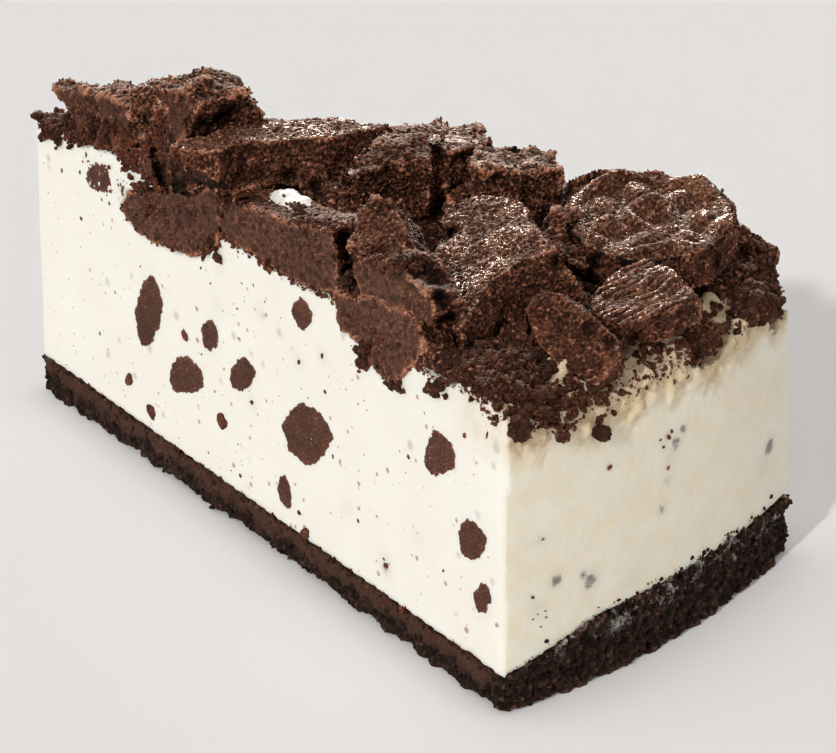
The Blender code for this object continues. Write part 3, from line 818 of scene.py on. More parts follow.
# %% [markdown]
# The crumb bed lies on the cream and fills the gaps between the big pieces. It is all loose grain, so three
# patterns, each finer than the one before, turn its flat facets into heaps. Along the rim it thins out to
# nothing, so there it sinks into the cream, whose torn top then shows.

# %% Crumb bed
CORNER_HEM = 40.8
bed = copy_of("crumb_topping", "crumb_bed")
net(bed, 0.33)
roughen(bed, "soft", 2.0, 1.0, mid=0.55, depth=3)
roughen(bed, "cells", 0.9, -0.6, mid=0.4)
roughen(bed, "cells", 0.55, -0.45, mid=0.4)
points = points_of(bed)
radius = radius_of(points)
bare = step(radius, 104.5, 107) * step(points[:, 1], -12, -8) * (1 - step(points[:, 1], 12, 15))
corner = step(radius, 105, 109) * (1 - step(points[:, 1], -14, -10))
points[:, 2] -= 2.4 * bare * (points[:, 2] < 43.5)
points[:, 2] += corner * 0.8 * np.maximum(CORNER_HEM - points[:, 2], 0)
points[:, :2] *= (1 - 0.7 * corner * (points[:, 2] < CORNER_HEM + 1.5) / radius)[:, None]
# Towards the tip it is lower, so that the shard there stands clear of it
points[:, 2] -= 0.55 * (1 - step(radius, 8, 14)) * np.maximum(points[:, 2] - 42.5, 0)
points += (1 - step(radius, 4, 9))[:, None] * (1.1, 0, -1.3)
move_to(bed, points)
mark_lift_shade(bed)
hold_back(bed, 0.4)
hand_in(bed, loose_crumb, "crumb", "crumb_topping")

# %% [markdown]
# Each broken biscuit keeps the place and turn that its solid has. A baked face is found by its direction:
# what looks along the slab's own up axis, or down it, was baked. The table repeats each slab's turn from
# the solids, and says how well its baked faces survived and how rough it broke. Four pieces have a form of
# their own: split layers, a pressed border, a drawn-out shard and a worn crest.

# %% Turns and forms of the biscuits
NEAR_TURN = (90, 0, -15)
FAR_TURN = (90, 0, 195)
SLABS = {
    "stamped_biscuit": ((7, 0, 41), 1.0, 1.0),
    "half_biscuit": ((7, -26, 38), 1.0, 1.2),
    "left_crest": ((31, -5, 38), 0.35, 1.8),
    "long_bar": ((0, 0, 41), 0.9, 1.2),
    "peak_block": ((43, -16, 27), 0.35, 1.4),
    "mid_block": ((14, 0, 41), 0.15, 1.8),
    "back_slab": ((0, 6, 41), 0.35, 1.6),
    "rear_block": ((6, 0, 41), 0.25, 1.8),
    "leaning_slab": ((52, -9, 29), 0.12, 0.9),
    "ridged_piece": ((19, -3, 40), 0.75, 0.9),
    "corner_lump": ((44, 23, 61), 0.35, 1.6),
    "rear_foot": ((37, 0, 41), 0.2, 1.8),
    "side_block": ((31, 5, 44), 0.35, 1.8),
    "mid_lump": ((49, -4, 37), 0.2, 1.8),
    "rim_chip": ((45, 8, 55), 0.2, 1.6),
    "far_slab": ((4, 3, 16), 0.6, 1.2),
    "far_wedge": ((-6, 4, 14), 0.6, 1.2),
    "tip_shard": (NEAR_TURN, 0.0, 1.8),
    "left_foot": (NEAR_TURN, 0.0, 1.8),
    "sunk_left": (NEAR_TURN, 0.0, 1.5),
    "flush_bar": (NEAR_TURN, 0.0, 1.3),
    "sunk_mid": (NEAR_TURN, 0.0, 1.5),
    "peak_foot": (NEAR_TURN, 0.0, 1.5),
    "far_flush_left": (FAR_TURN, 0.0, 1.5),
    "far_flush_mid": (FAR_TURN, 0.0, 1.3),
    "far_flush_right": (FAR_TURN, 0.0, 1.5),
}


def axes_of(turn):
    """A slab's own x, y and up directions, from its turn in degrees."""
    a, b, c = (math.radians(angle) for angle in turn)
    about_x = np.array(((1, 0, 0), (0, math.cos(a), -math.sin(a)), (0, math.sin(a), math.cos(a))))
    about_y = np.array(((math.cos(b), 0, math.sin(b)), (0, 1, 0), (-math.sin(b), 0, math.cos(b))))
    about_z = np.array(((math.cos(c), -math.sin(c), 0), (math.sin(c), math.cos(c), 0), (0, 0, 1)))
    return (about_z @ about_y @ about_x).T


def ridges(points, top, axes):
    """Wavy layers across a piece, as of a biscuit that split along its rolled dough."""
    # The way along the layers that the picture shows rising 0.59 for each 1 to the right
    across_picture = [axis @ np.array(upward) - 0.59 * (axis @ np.array(sideways)) for axis in axes[:2]]
    run = axes[0] * across_picture[1] - axes[1] * across_picture[0]
    run /= np.linalg.norm(run)
    over = (points - points.mean(0)) @ np.cross(axes[2], run)
    down = (points - points.mean(0)) @ run
    bend = 0.5 * np.sin(down * 0.55) + 0.3 * np.sin(down * 1.3 + over * 0.7)
    layer = over / 1.05 + 0.6 * bend
    wave = 1 - 2 * np.abs(np.sin(layer * math.pi)) ** 0.7 + 0.5 * np.sin(layer * 2.3 + bend)
    fading = 0.6 + 0.4 * np.sin(down * 0.8 + over * 1.1)
    return points - (top * (wave + 0.4) * fading * 0.33)[:, None] * axes[2]


def rings(points, top, axes):
    """A plain pressed border on a baked top: two rings and a band of short ribs between them."""
    x, y, z = ((points - np.array((99.0, 13.5, 50.6))) @ axes.T).T
    reach = np.hypot(x, y) + 0.5 * np.sin(x * 0.7) * np.sin(y * 0.8 + 1)
    ring = np.exp(-((reach - 2.6) / 1.3) ** 2) + np.exp(-((reach - 9.6) / 1.3) ** 2)
    ribs = np.exp(-((reach - 6.3) / 1.5) ** 4) * (0.5 + 0.5 * np.cos(7 * np.arctan2(y, x)))
    worn = 0.75 + 0.4 * np.sin(x * 0.5 + 1) * np.sin(y * 0.6)
    return points + (top * (z > -2.0) * ((2.2 * ring + 2.0 * ribs) * worn - 1.4))[:, None] * axes[2]


def taper(points, top, axes):
    """Draws the shard's outer end to a point along its upper edge, as it split."""
    start = points[:, 0].min()
    share = 1 - step(points[:, 0], start, start + 6.0)
    raised = share * 0.8 * (48.0 - points[:, 2])
    return points + np.stack((share * -0.3, share * 0, raised), axis=1)


def wear_crest(points, top, axes):
    """Brings the crest's highest points down by half."""
    return points - 0.5 * np.maximum(points[:, 2:] - 57.0, 0) * (0, 0, 1)


FORMS = {"ridged_piece": ridges, "stamped_biscuit": rings, "tip_shard": taper, "left_crest": wear_crest}
print("biscuits:", len(SLABS), "of which formed:", len(FORMS))

# %% [markdown]
# One loop then makes them all. Baked faces stay closed and only pitted, while every broken side gets deep
# crags. Flush pieces were pressed together by the knife, so they are laid flat in the cut, grown a little
# to close the joints, and only pitted where the blade packed them.

# %% Broken biscuits
SPLIT_FINER = ("half_biscuit", "stamped_biscuit", "long_bar", "ridged_piece")
# How high the relief of a baked top is, where a pressed or layered pattern has to show through it
TOP_HEIGHTS = {"stamped_biscuit": 0.5, "ridged_piece": 0.35}
# Pieces at the back and under others, which a coarser net serves as well
COARSER = (
    "rear_foot", "side_block", "mid_lump", "rim_chip", "far_slab", "far_wedge", "peak_foot", "sunk_mid",
    "far_flush_left", "far_flush_mid", "far_flush_right", "back_slab", "rear_block",
)
biscuits = []
for node, (turn, survived, crag) in SLABS.items():
    piece = copy_of(node, f"broken_{node}")
    flush = turn in (NEAR_TURN, FAR_TURN)
    top_height = TOP_HEIGHTS.get(node, 1.0)
    net(piece, 0.26 if node in COARSER else 0.22)
    finish_with(piece, "SMOOTH", factor=0.5, iterations=4)
    if flush:
        lay_flat(piece, 0.4)
    axes = axes_of(turn)
    facing = normals_of(piece) @ axes[2]
    baked = step(np.abs(facing), 0.8, 0.95) * survived
    cut = step(facing, 0.8, 0.95) * (0.35 if node in ("tip_shard", "left_foot") else 0.8) * flush
    mark(piece, "baked", baked)
    mark(piece, "cut", cut)
    mark(piece, "broken", np.clip(1 - baked * 0.9 - cut * 0.45, 0, 1))
    if node in FORMS:
        move_to(piece, FORMS[node](points_of(piece), step(facing, 0.6, 0.9), axes))
    if node in SPLIT_FINER:
        finer(piece, baked * (facing > 0), 0.5)
    if flush:
        move_to(piece, points_of(piece) + normals_of(piece) * 0.3)
    if crag > 1.4:
        roughen(piece, "soft", 5.0, crag * 1.1, "broken", depth=1)
    roughen(piece, "soft", 2.6, crag * 1.2, "broken", depth=4)
    roughen(piece, "hard", 0.6, -crag * 0.3, "broken", mid=0.3, depth=1)
    roughen(piece, "soft", 2.4, 1.1 * top_height, "baked")
    roughen(piece, "hard", 0.8, -0.75 * top_height, "baked", mid=0.3)
    if flush:
        roughen(piece, "hard", 1.7, -1.6, "cut", mid=0.2, depth=4)
    roughen(piece, "cells", 0.55, -0.16, mid=0.4)
    if flush:
        hold_back(piece, 0.4)
    mark_lift_shade(piece)
    hand_in(piece, baked_biscuit, "cocoa_biscuit", node)
    biscuits.append(piece)

# %% [markdown]
# Between the pieces the picture shows deep dark gaps, which the close-fitting solids leave out. Each is
# pressed in where the camera sees it: a soft dent in every piece that lies near, away from the camera. The
# crumb down there gets painted shade: the material paints it darker.

# %% Gaps between the pieces


def tree_of(objects):
    """A search tree over several pieces, in millimetres from the tip."""
    points, faces, start = [], [], 0
    for obj in objects:
        points.append(points_of(obj))
        faces += [[start + index for index in face.vertices] for face in obj.data.polygons]
        start += len(points[-1])
    return BVHTree.FromPolygons(np.concatenate(points).tolist(), faces)


# Column, row, width and depth in millimetres
DENTS = (
    (160, 180, 1.6, 4.5), (172, 186, 1.8, 5.5), (186, 190, 1.9, 6.0), (200, 193, 1.9, 5.5),
    (214, 195, 1.7, 4.5), (228, 197, 1.5, 3.6), (242, 199, 1.2, 2.6), (149, 120, 0.9, 2.4),
    (151, 134, 1.0, 2.6), (154, 150, 1.2, 3.2), (160, 166, 1.4, 4.0), (118, 128, 1.0, 1.6),
    (126, 140, 1.0, 1.6), (96, 122, 0.8, 1.2), (175, 168, 0.9, 1.5), (345, 240, 1.2, 3.4),
    (346, 255, 1.2, 3.4), (349, 270, 1.1, 3.0), (353, 285, 1.0, 2.4), (440, 215, 1.9, 4.5),
    (446, 235, 1.7, 4.0), (441, 300, 1.3, 3.4), (446, 318, 1.3, 3.4), (452, 335, 1.1, 2.6),
    (400, 262, 2.2, 2.6), (420, 268, 2.0, 2.8), (436, 280, 1.6, 2.6), (500, 330, 0.9, 1.4),
    (520, 344, 0.9, 1.4), (470, 352, 1.0, 1.4), (560, 262, 1.0, 2.2), (580, 276, 1.0, 2.2),
    (597, 262, 1.0, 2.0), (716, 262, 1.0, 1.4), (742, 252, 1.2, 1.8), (590, 330, 0.9, 1.4),
    (612, 342, 0.9, 1.6), (634, 338, 1.0, 1.8), (290, 176, 1.0, 1.8), (318, 186, 1.0, 2.0),
    (336, 176, 1.0, 2.0), (350, 168, 1.0, 1.6), (180, 222, 0.8, 1.0), (205, 210, 0.8, 1.0),
    (222, 214, 0.8, 1.4), (198, 124, 1.8, 3.0), (214, 117, 1.8, 3.2), (230, 112, 1.5, 2.6),
    (376, 256, 1.6, 2.2),
)
heap = [bed] + biscuits
heap_tree = tree_of(heap)
dents = []
for column, row, wide, deep in DENTS:
    hit = heap_tree.ray_cast(*sight(column, row))[0]
    if hit is not None:
        dents.append((np.array(hit), wide, deep))
for piece in heap:
    points = points_of(piece)
    moved = np.zeros(len(points))
    for middle, wide, deep in dents:
        moved = np.maximum(moved, deep * np.exp(-(((points - middle) ** 2).sum(1) / wide ** 2) ** 1.6))
    # The crumb bed is only pushed back, not down, so that it still covers the cream
    away = -np.array(back) * ((1, 1, 0) if piece == bed else 1)
    move_to(piece, points + moved[:, None] * away)
    # Painted shade: each dent lowers the lift number, so the material paints the crumb there darker
    keep(piece, "lift_shade", np.clip(kept(piece, "lift_shade") - 0.22 * moved, -1.2, 1))
print("dents:", len(dents))

# %% [markdown]
# The bits in the cream are cut through, so only a flat face shows, with an uneven, crumbly outline. They
# stand a few hundredths proud of the cream, as crumb does where the softer cream drew back from the knife.

# %% Bits in the cream
for side, nodes in (("near", NEAR_BITS), ("far", FAR_BITS)):
    made = []
    for node in nodes:
        bit = copy_of(node, f"cut_{node}")
        net(bit, 0.24)
        roughen(bit, "soft", 1.8, 1.0, mid=0.4)
        roughen(bit, "soft", 0.8, 2.2 if node == "bit_crumbly" else 0.8)
        points = points_of(bit)
        depth = outside(points, side)
        skin = step(depth, -0.55, -0.3)
        level = 0.05 + 0.05 * np.sin(points[:, 2] * 9) * np.sin(points[:, 0] * 7 + points[:, 1] * 3)
        move_to(bit, points + (skin * (level - depth))[:, None] * FACING[side])
        mark(bit, "cut", skin * 0.7)
        mark_lift_shade(bit)
        made.append(bit)
    hand_in(join(made, f"{side}_bits"), baked_biscuit, "cocoa_biscuit", *nodes)

# %% [markdown]
# Everything loose is mesh at its true size. One small uneven lump is modelled for each of four shapes, and
# each crumb is a turned and sized copy of one of them. They are strewn where crumbs gather: on the bed,
# on broken sides, along the cream's edge and on the torn shoulder. A crumb that would lie inside a
# biscuit, or right under one, is left out.

# %% Crumb shapes
rng = np.random.default_rng(7)
AMOUNT = 1.0 if FINE else 0.3


def small_ball(fineness):
    """A ball one millimetre in radius, which the next steps shape."""
    bpy.ops.object.select_all(action="DESELECT")
    bpy.ops.mesh.primitive_ico_sphere_add(subdivisions=fineness, radius=MM)
    return bpy.context.object


def crumb_shapes(fineness):
    """Four uneven lumps about one millimetre in radius, as rows of points, and the faces they share."""
    shapes = []
    for index in range(4):
        lump = small_ball(fineness)
        # Each lies at its own place in the patterns, so no two come out alike
        move_to(lump, points_of(lump) + (index * 7.0, 0, 0))
        roughen(lump, "soft", 0.8, 0.9 if fineness < 4 else 0.5, depth=1)
        if fineness > 2:
            roughen(lump, "cells", 0.42, -0.4, mid=0.4)
            roughen(lump, "soft", 0.3, 0.35, depth=1)
        points = points_of(lump)
        faces = [tuple(face.vertices) for face in lump.data.polygons]
        flattened = (1.0, 0.85, 0.65) if fineness < 4 else (1.0, 0.93, 0.86)
        shapes.append((points - points.mean(0)) * flattened)
        bpy.data.objects.remove(lump)
    return np.array(shapes), np.array(faces)


SHAPES = [crumb_shapes(fineness) for fineness in (1, 2, 3, 4)]
GRAIN, LUMP, CRUMB, BALL = SHAPES
print("faces of a grain, a lump, a crumb and a ball:", *(len(faces) for points, faces in SHAPES))

# %% [markdown]
# One function strews the copies as a single piece, and another picks places on a surface by chance, even
# over its area, where a rule allows them.

# %% Strewing crumbs


def piece_of(name, copies, faces, smooth):
    """One piece of many lumps, which share the numbers of their faces."""
    first_points = (np.arange(len(copies)) * copies.shape[1])[:, None, None]
    mesh = bpy.data.meshes.new(name)
    mesh.from_pydata(
        to_frame(copies.reshape(-1, 3)).tolist(), [], (faces + first_points).reshape(-1, 3).tolist(),
    )
    if smooth:
        mesh.shade_smooth()
    return new_piece(name, mesh)


def strew(name, shape, places, sizes, material=loose_crumb, slot_name="crumb", squash=0.6):
    """One piece of many crumbs, each a turned copy of one of the shapes."""
    shapes, faces = shape
    count = len(places)
    turns = rng.normal(size=(count, 4))
    turns /= np.linalg.norm(turns, axis=1)[:, None]
    w, x, y, z = turns.T
    rotation = np.stack((
        1 - 2 * (y * y + z * z), 2 * (x * y - w * z), 2 * (x * z + w * y),
        2 * (x * y + w * z), 1 - 2 * (x * x + z * z), 2 * (y * z - w * x),
        2 * (x * z - w * y), 2 * (y * z + w * x), 1 - 2 * (x * x + y * y),
    ), axis=1).reshape(-1, 3, 3)
    chosen = shapes[rng.integers(0, len(shapes), count)] * rng.uniform(squash, 1.95 - squash, (count, 1, 3))
    crumbs = np.einsum("nij,nkj->nki", rotation, chosen) * sizes[:, None, None] + places[:, None, :]
    hand_in(piece_of(name, crumbs, faces, len(faces) > 80), material, slot_name)


def spread_over(obj, count, wanted):
    """Random places on a piece, even over its area, with the way it faces, where wanted allows them."""
    points, normals = points_of(obj), normals_of(obj)
    obj.data.calc_loop_triangles()
    corners = np.empty(len(obj.data.loop_triangles) * 3, dtype=np.int32)
    obj.data.loop_triangles.foreach_get("vertices", corners)
    corners = corners.reshape(-1, 3)
    a, b, c = (points[corners[:, i]] for i in range(3))
    facing = normals[corners].mean(1)
    area = np.linalg.norm(np.cross(b - a, c - a), axis=1) * wanted((a + b + c) / 3, facing)
    picked = rng.choice(len(area), int(count * AMOUNT), p=area / area.sum())
    u, v = rng.random((2, len(picked), 1))
    over = u + v > 1
    u, v = np.where(over, 1 - u, u), np.where(over, 1 - v, v)
    return a[picked] + (b[picked] - a[picked]) * u + (c[picked] - a[picked]) * v, facing[picked]


def against(hit, normal, proud):
    """A place that far out of the surface that a ray met."""
    return np.array(hit) + np.array(normal) * proud


def sizes_for(places, least, more, power):
    """Radii in millimetres: many near the least, and few that are much larger."""
    return least + more * rng.random(len(places)) ** power


# %% [markdown]
# The bed carries the most: fine grain all over, and rounder crumbs of one to three millimetres that gather
# near the rim, where the near corner holds a small heap of them.

# %% Crumbs on the bed
biscuit_tree = tree_of(biscuits)


def in_the_open(places, facing):
    """Which places lie outside every biscuit and have some room above them."""
    free = np.ones(len(places), dtype=bool)
    for index, (point, way) in enumerate(zip(places, facing)):
        point, way = Vector(point), Vector(way)
        near, normal, _, _ = biscuit_tree.find_nearest(point, 3.0)
        inside = near is not None and (point - near).dot(normal) < -0.15
        free[index] = not inside and biscuit_tree.ray_cast(point + way * 0.25, way, 1.2)[0] is None
    return free


def open_side(middles, facing):
    """The bed's upper side and its sides, not what lies on the cream."""
    return facing[:, 2] > -0.35


def towards_rim(middles, facing):
    radius = radius_of(middles)
    corner = step(radius, 98, 106) * (1 - step(middles[:, 1], -14, -9))
    return open_side(middles, facing) * (0.3 + 2.5 * corner + 1.2 * (radius < 12))


# Name, shape, number, where, how far they stand out of the bed, and their sizes
for name, shape, count, wanted, proud, sizing in (
    ("bed_grains", GRAIN, 7400, open_side, 0.08, (0.11, 0.28, 2.5)),
    ("bed_crumbs", LUMP, 1500, towards_rim, 0.12, (0.25, 0.75, 3)),
):
    places, facing = spread_over(bed, count, wanted)
    places = (places + facing * proud)[in_the_open(places, facing)]
    strew(name, shape, places, sizes_for(places, *sizing))

# %% [markdown]
# Where the bed leaves the cream bare between the pieces, crumbs fell down to it. Such a place sees the sky
# in at least one of five directions.

# %% Crumbs that fell to the cream


def top_inside(middles, facing):
    radius = radius_of(middles)
    return (facing[:, 2] > 0.5) * (radius > 12) * (radius < 98) * (outside(middles) < -1.5)


skyward = [Vector(way).normalized() for way in ((0, 0, 2), (1, 0, 2), (-1, 0, 2), (0, 1, 2), (0, -1, 2))]
places, facing = spread_over(cream, 16000, top_inside)
bare = [
    any(heap_tree.ray_cast(Vector(place) + way * 0.2, way, 30)[0] is None for way in skyward)
    for place in places
]
places = places[np.array(bare)] + (0, 0, 0.2)
strew("fallen_crumbs", LUMP, places, sizes_for(places, 0.5, 0.5, 2))

# %% [markdown]
# Broken sides shed grain too, most where a grain already stands out.

# %% Grain on the biscuits
places = []
for piece in biscuits:
    points, normals = points_of(piece), normals_of(piece)
    rough = np.nonzero((kept(piece, "broken") > 0.6) & (normals[:, 2] > -0.6))[0]
    weight = 0.15 + np.clip(kept(piece, "lift_shade")[rough], 0, 1) ** 2 * 6
    take = rng.choice(rough, int(len(rough) * 0.028 * AMOUNT), replace=False, p=weight / weight.sum())
    places.append(points[take] + normals[take] * 0.05)
places = np.concatenate(places)
places = places[outside(places) < 0.3]
strew("biscuit_grains", GRAIN, places, sizes_for(places, 0.1, 0.26, 2.5), baked_biscuit, "cocoa_biscuit")

# %% [markdown]
# Where the knife passed, crumbs were dragged a little over the cream's edge. They sit half in the cream,
# along the line where it meets the topping, and under every flush biscuit.

# %% Crumbs along the cream's edge
# The upper line of the cream on the near cut: distance along it and height
NEAR_LINE = (
    (0, 41.0), (14, 43.0), (21, 44.2), (32, 43.4), (50, 41.6), (70, 41.6),
    (79, 43.0), (90, 41.0), (100, 40.2), (107, 41.4), (115, 38.5),
)


def highest(points, along, stations, reach, least):
    """How high the points go near each station along a face."""
    return [points[np.abs(along - station) < reach, 2].max(initial=least) for station in stations]


distance = rng.uniform(2, 113, int(900 * AMOUNT))
height = np.interp(distance, *zip(*NEAR_LINE)) + rng.normal(-0.05, 0.3, len(distance))
proud = rng.uniform(-0.25, 0.1, len(distance))
places = [on_cut("near", *row) for row in zip(distance, height, proud)]
points = points_of(cream)
points = points[outside(points, "far") > -1.2]
stations = np.linspace(3, 112, 60)
far_line = highest(points, radius_of(points), stations, 1.2, 30.0)
for s in rng.uniform(9, 112, int(1300 * AMOUNT)):
    places.append(on_cut("far", s, np.interp(s, stations, far_line) - 0.1 - abs(rng.normal(0, 0.35)), 0.05))
for piece in biscuits:
    if SLABS[piece.name.removeprefix("broken_")][0] != NEAR_TURN:
        continue
    points, normals = points_of(piece), normals_of(piece)
    rim = np.nonzero((np.abs(outside(points, "near") + 0.3) < 0.35) & (normals[:, 2] < -0.5))[0]
    take = rng.choice(rim, min(len(rim), int(60 * AMOUNT)), replace=False)
    places += list(points[take] + np.array((0, 0, -0.2)) * rng.random((len(take), 1)))
places = np.array(places)
strew("edge_crumbs", GRAIN, places, sizes_for(places, 0.12, 0.36, 3), lighter_red_crumb)

# %% [markdown]
# Between the long bar and the flush one the cream stands up in a small hollow and catches the light. It is
# a flattened lump, torn on top like the shoulder, that fills the gap and carries a few dark crumbs.

# %% Cream in the hollow
HOLLOW_MIDDLE = np.array((60.0, -11.6, 47.4))
HOLLOW_LENGTH, HOLLOW_WIDTH, HOLLOW_HEIGHT = 5.2, 1.8, 2.9
hollow = small_ball(5)
hollow.name = "cream_in_hollow"
hollow.data.name = "cream_in_hollow"
run = np.array((0.966, -0.259, 0.0))
lean = np.array((0.259 * 0.6, 0.966 * 0.6, 0.8))
frame_of_lump = np.array((run * HOLLOW_LENGTH, lean * HOLLOW_HEIGHT, np.cross(run, lean) * HOLLOW_WIDTH))
move_to(hollow, HOLLOW_MIDDLE + (points_of(hollow) - ORIGIN) @ frame_of_lump)
roughen(hollow, "soft", 2.6, 1.4)
roughen(hollow, "soft", 0.8, 0.5)
hollow.data.shade_smooth()
hand_in(hollow, set_cream, "cream")

# %% [markdown]
# At the near corner crumbs rolled off the topping and stuck: four clear balls and a fringe of small ones.
# Further along the rim they lie on the torn shoulder, thick near the topping and thinner below. Those that
# stand out in the picture are placed by sight. Each lies on the first cream, bed or biscuit that the camera
# meets there, so it is carried from any side.

# %% Crumbs placed by sight
# Column, row, radius in millimetres
BALLS = (
    (515, 429, 1.7), (561, 436, 1.0), (558, 425, 0.8), (556, 416, 0.8), (600, 430, 1.35), (600, 418, 0.6),
    (500, 407, 0.9), (505, 414, 0.6), (497, 417, 0.5), (528, 411, 0.9), (541, 405, 1.0), (548, 414, 0.9),
    (551, 424, 0.7), (565, 427, 0.55), (536, 419, 0.5), (545, 396, 0.9), (583, 405, 0.7), (572, 412, 0.7),
    (612, 413, 0.45), (606, 404, 0.5), (576, 421, 0.35), (574, 430, 0.35), (590, 393, 0.8), (620, 392, 0.6),
    (512, 397, 1.0), (523, 402, 0.8), (487, 385, 0.8), (492, 399, 0.6), (563, 402, 0.9), (556, 393, 0.9),
    (533, 396, 0.9), (580, 396, 0.8), (600, 396, 0.6), (610, 388, 0.6), (570, 391, 0.9), (520, 389, 0.9),
    (690, 348, 1.2), (698, 340, 1.1), (706, 346, 1.0), (712, 338, 0.9), (702, 356, 0.7), (694, 359, 0.7),
    (720, 330, 0.8), (684, 338, 0.8), (678, 330, 0.7), (727, 324, 0.6), (735, 318, 0.9), (716, 352, 0.4),
    (676, 345, 0.4), (668, 336, 0.4), (743, 316, 0.9), (750, 320, 0.9), (758, 316, 1.0), (766, 312, 1.0),
    (772, 316, 0.8), (762, 322, 0.6), (745, 307, 0.9), (755, 305, 0.9), (736, 306, 0.8), (730, 296, 0.7),
    (443, 388, 0.9), (438, 394, 0.6), (447, 396, 0.5), (398, 386, 0.7), (404, 391, 0.5), (365, 350, 0.7),
    (363, 362, 0.8), (360, 371, 0.4), (45, 136, 0.8), (60, 141, 0.7), (72, 146, 0.6), (57, 148, 0.4),
    (268, 262, 0.5), (218, 256, 0.6), (222, 262, 0.4), (39, 118, 0.9), (47, 125, 0.9), (58, 131, 0.8),
    (742, 300, 1.5), (754, 304, 1.5), (766, 302, 1.3), (748, 314, 1.3), (764, 314, 1.2), (738, 312, 1.0),
    (758, 294, 1.3), (770, 294, 1.1), (748, 290, 1.2), (292, 206, 0.5), (299, 212, 0.75), (287, 204, 0.4),
    (284, 196, 0.3), (668, 437, 0.4), (663, 447, 0.25), (671, 431, 0.3), (660, 440, 0.2), (295, 203, 0.3),
    (303, 207, 0.45), (297, 216, 0.5), (779, 300, 0.9), (774, 306, 0.8),
)
# Patches where they lie thick: column, row, half width, half height, number, least and largest radius
PATCHES = (
    (51, 124, 5, 8, 24, 0.5, 0.9), (54, 135, 8, 4, 16, 0.3, 0.7), (72, 139, 12, 3, 14, 0.3, 0.6),
    (104, 146, 10, 3, 10, 0.25, 0.5), (130, 148, 14, 12, 90, 0.25, 0.44), (134, 168, 6, 8, 10, 0.3, 0.6),
    (214, 248, 10, 7, 16, 0.3, 0.75), (150, 212, 12, 10, 12, 0.25, 0.5), (185, 225, 30, 22, 26, 0.2, 0.4),
    (363, 354, 4, 12, 12, 0.4, 0.8), (440, 388, 8, 5, 8, 0.4, 0.8), (395, 385, 8, 5, 10, 0.3, 0.7),
    (530, 392, 40, 14, 70, 0.25, 0.7), (545, 412, 22, 10, 24, 0.25, 0.6), (480, 378, 12, 8, 14, 0.3, 0.6),
    (146, 185, 8, 5, 26, 0.3, 0.7), (395, 263, 26, 6, 46, 0.3, 0.8), (318, 224, 26, 7, 50, 0.25, 0.6),
    (104, 130, 26, 13, 46, 0.25, 0.7), (757, 300, 22, 18, 40, 0.3, 0.9), (700, 345, 18, 9, 24, 0.25, 0.7),
    (765, 262, 12, 22, 30, 0.3, 0.8), (776, 303, 7, 5, 34, 0.35, 0.9), (765, 312, 14, 4, 22, 0.25, 0.6),
    (158, 138, 6, 22, 70, 0.2, 0.45),
)
sprinkled = [
    (column + wide * rng.normal() * 0.6, row + high * rng.normal() * 0.6, rng.uniform(least, most))
    for column, row, wide, high, number, least, most in PATCHES
    for _ in range(int(number * AMOUNT))
]
crumb_tree = tree_of([cream, bed, hollow] + biscuits)
places, sizes = [], []
for column, row, size in list(BALLS) + sprinkled:
    hit, normal, _, _ = crumb_tree.ray_cast(*sight(column, row))
    if hit is not None:
        places.append(against(hit, normal, size * 0.45))
        sizes.append(size)
print("crumbs placed by sight:", len(places))

# %% [markdown]
# The fringe of small ones falls against the rim in groups. Four pieces then hold all of these by size, the
# larger the finer their shape, and small grains cling to each ball.

# %% Crumbs on the shoulder
# Middle of a group along the rim, half width, how far they fall, share
GATHERED = (
    (-22.5, 3.6, 1.7, 5), (-14.0, 2.0, 1.2, 1), (5.0, 2.4, 1.3, 3), (18.5, 2.6, 1.0, 3),
    (11.0, 2.0, 1.0, 1), (0.0, 14.0, 1.6, 1), (-7.0, 3.5, 1.8, 2), (0.0, 4.0, 1.5, 2),
)
CORNER_BALL, CORNER_CRUMB, CORNER_BIT = 0.95, 0.62, 0.45
cream_tree = tree_of([cream])
turns = [row for row in GATHERED for _ in range(row[3])]
for index in range(int(2700 * AMOUNT)):
    middle, half, fall, _ = turns[index % len(turns)]
    side = rng.normal(middle, half)
    start = Vector((125, side, CREAM_TOP - 0.2 - abs(rng.normal(0, fall))))
    hit, normal, _, _ = cream_tree.ray_cast(start, Vector((-1, 0, 0)), 25)
    if hit is None or hit.x < 104:
        continue
    size = 0.1 + 0.42 * rng.random() ** 4
    places.append(against(hit, normal, size * rng.uniform(-0.1, 0.5)))
    sizes.append(size)
places, sizes = np.array(places), np.array(sizes)
for name, shape, least, most, material, squash in (
    ("corner_balls", BALL, CORNER_BALL, math.inf, loose_crumb, 0.88),
    ("corner_crumbs", CRUMB, CORNER_CRUMB, CORNER_BALL, loose_crumb, 0.6),
    ("corner_bits", LUMP, CORNER_BIT, CORNER_CRUMB, loose_crumb, 0.6),
    ("shoulder_crumbs", GRAIN, 0, CORNER_BIT, lighter_red_crumb, 0.6),
):
    chosen = (sizes >= least) & (sizes < most)
    strew(name, shape, places[chosen], sizes[chosen], material, squash=squash)
clinging, cling_sizes = [], []
for place, size in zip(places, sizes):
    for _ in range(int(6 * AMOUNT) if size >= CORNER_BIT else 0):
        way = rng.normal(size=3)
        clinging.append(place + way / np.linalg.norm(way) * size * (0.8, 0.75, 0.6))
        cling_sizes.append(rng.uniform(0.1, 0.26))
strew("ball_grains", GRAIN, np.array(clinging), np.array(cling_sizes), lighter_red_crumb)

# %% [markdown]
# The base sheds grain along its sides and its foot. Where the cream sits on it, crumbs of the base stick in
# the cream, each on the face nearest to its place, and a few flecks of cream stay on the crumbs by the rim.

# %% Grain on the base and flecks of cream


def open_sides(middles, facing):
    packed = (np.abs(facing[:, 1]) > 0.8) * (middles[:, 2] > 3.0)
    return (np.abs(facing[:, 2]) < 0.75) * (middles[:, 2] > 0.5) * (1 - 0.9 * packed)


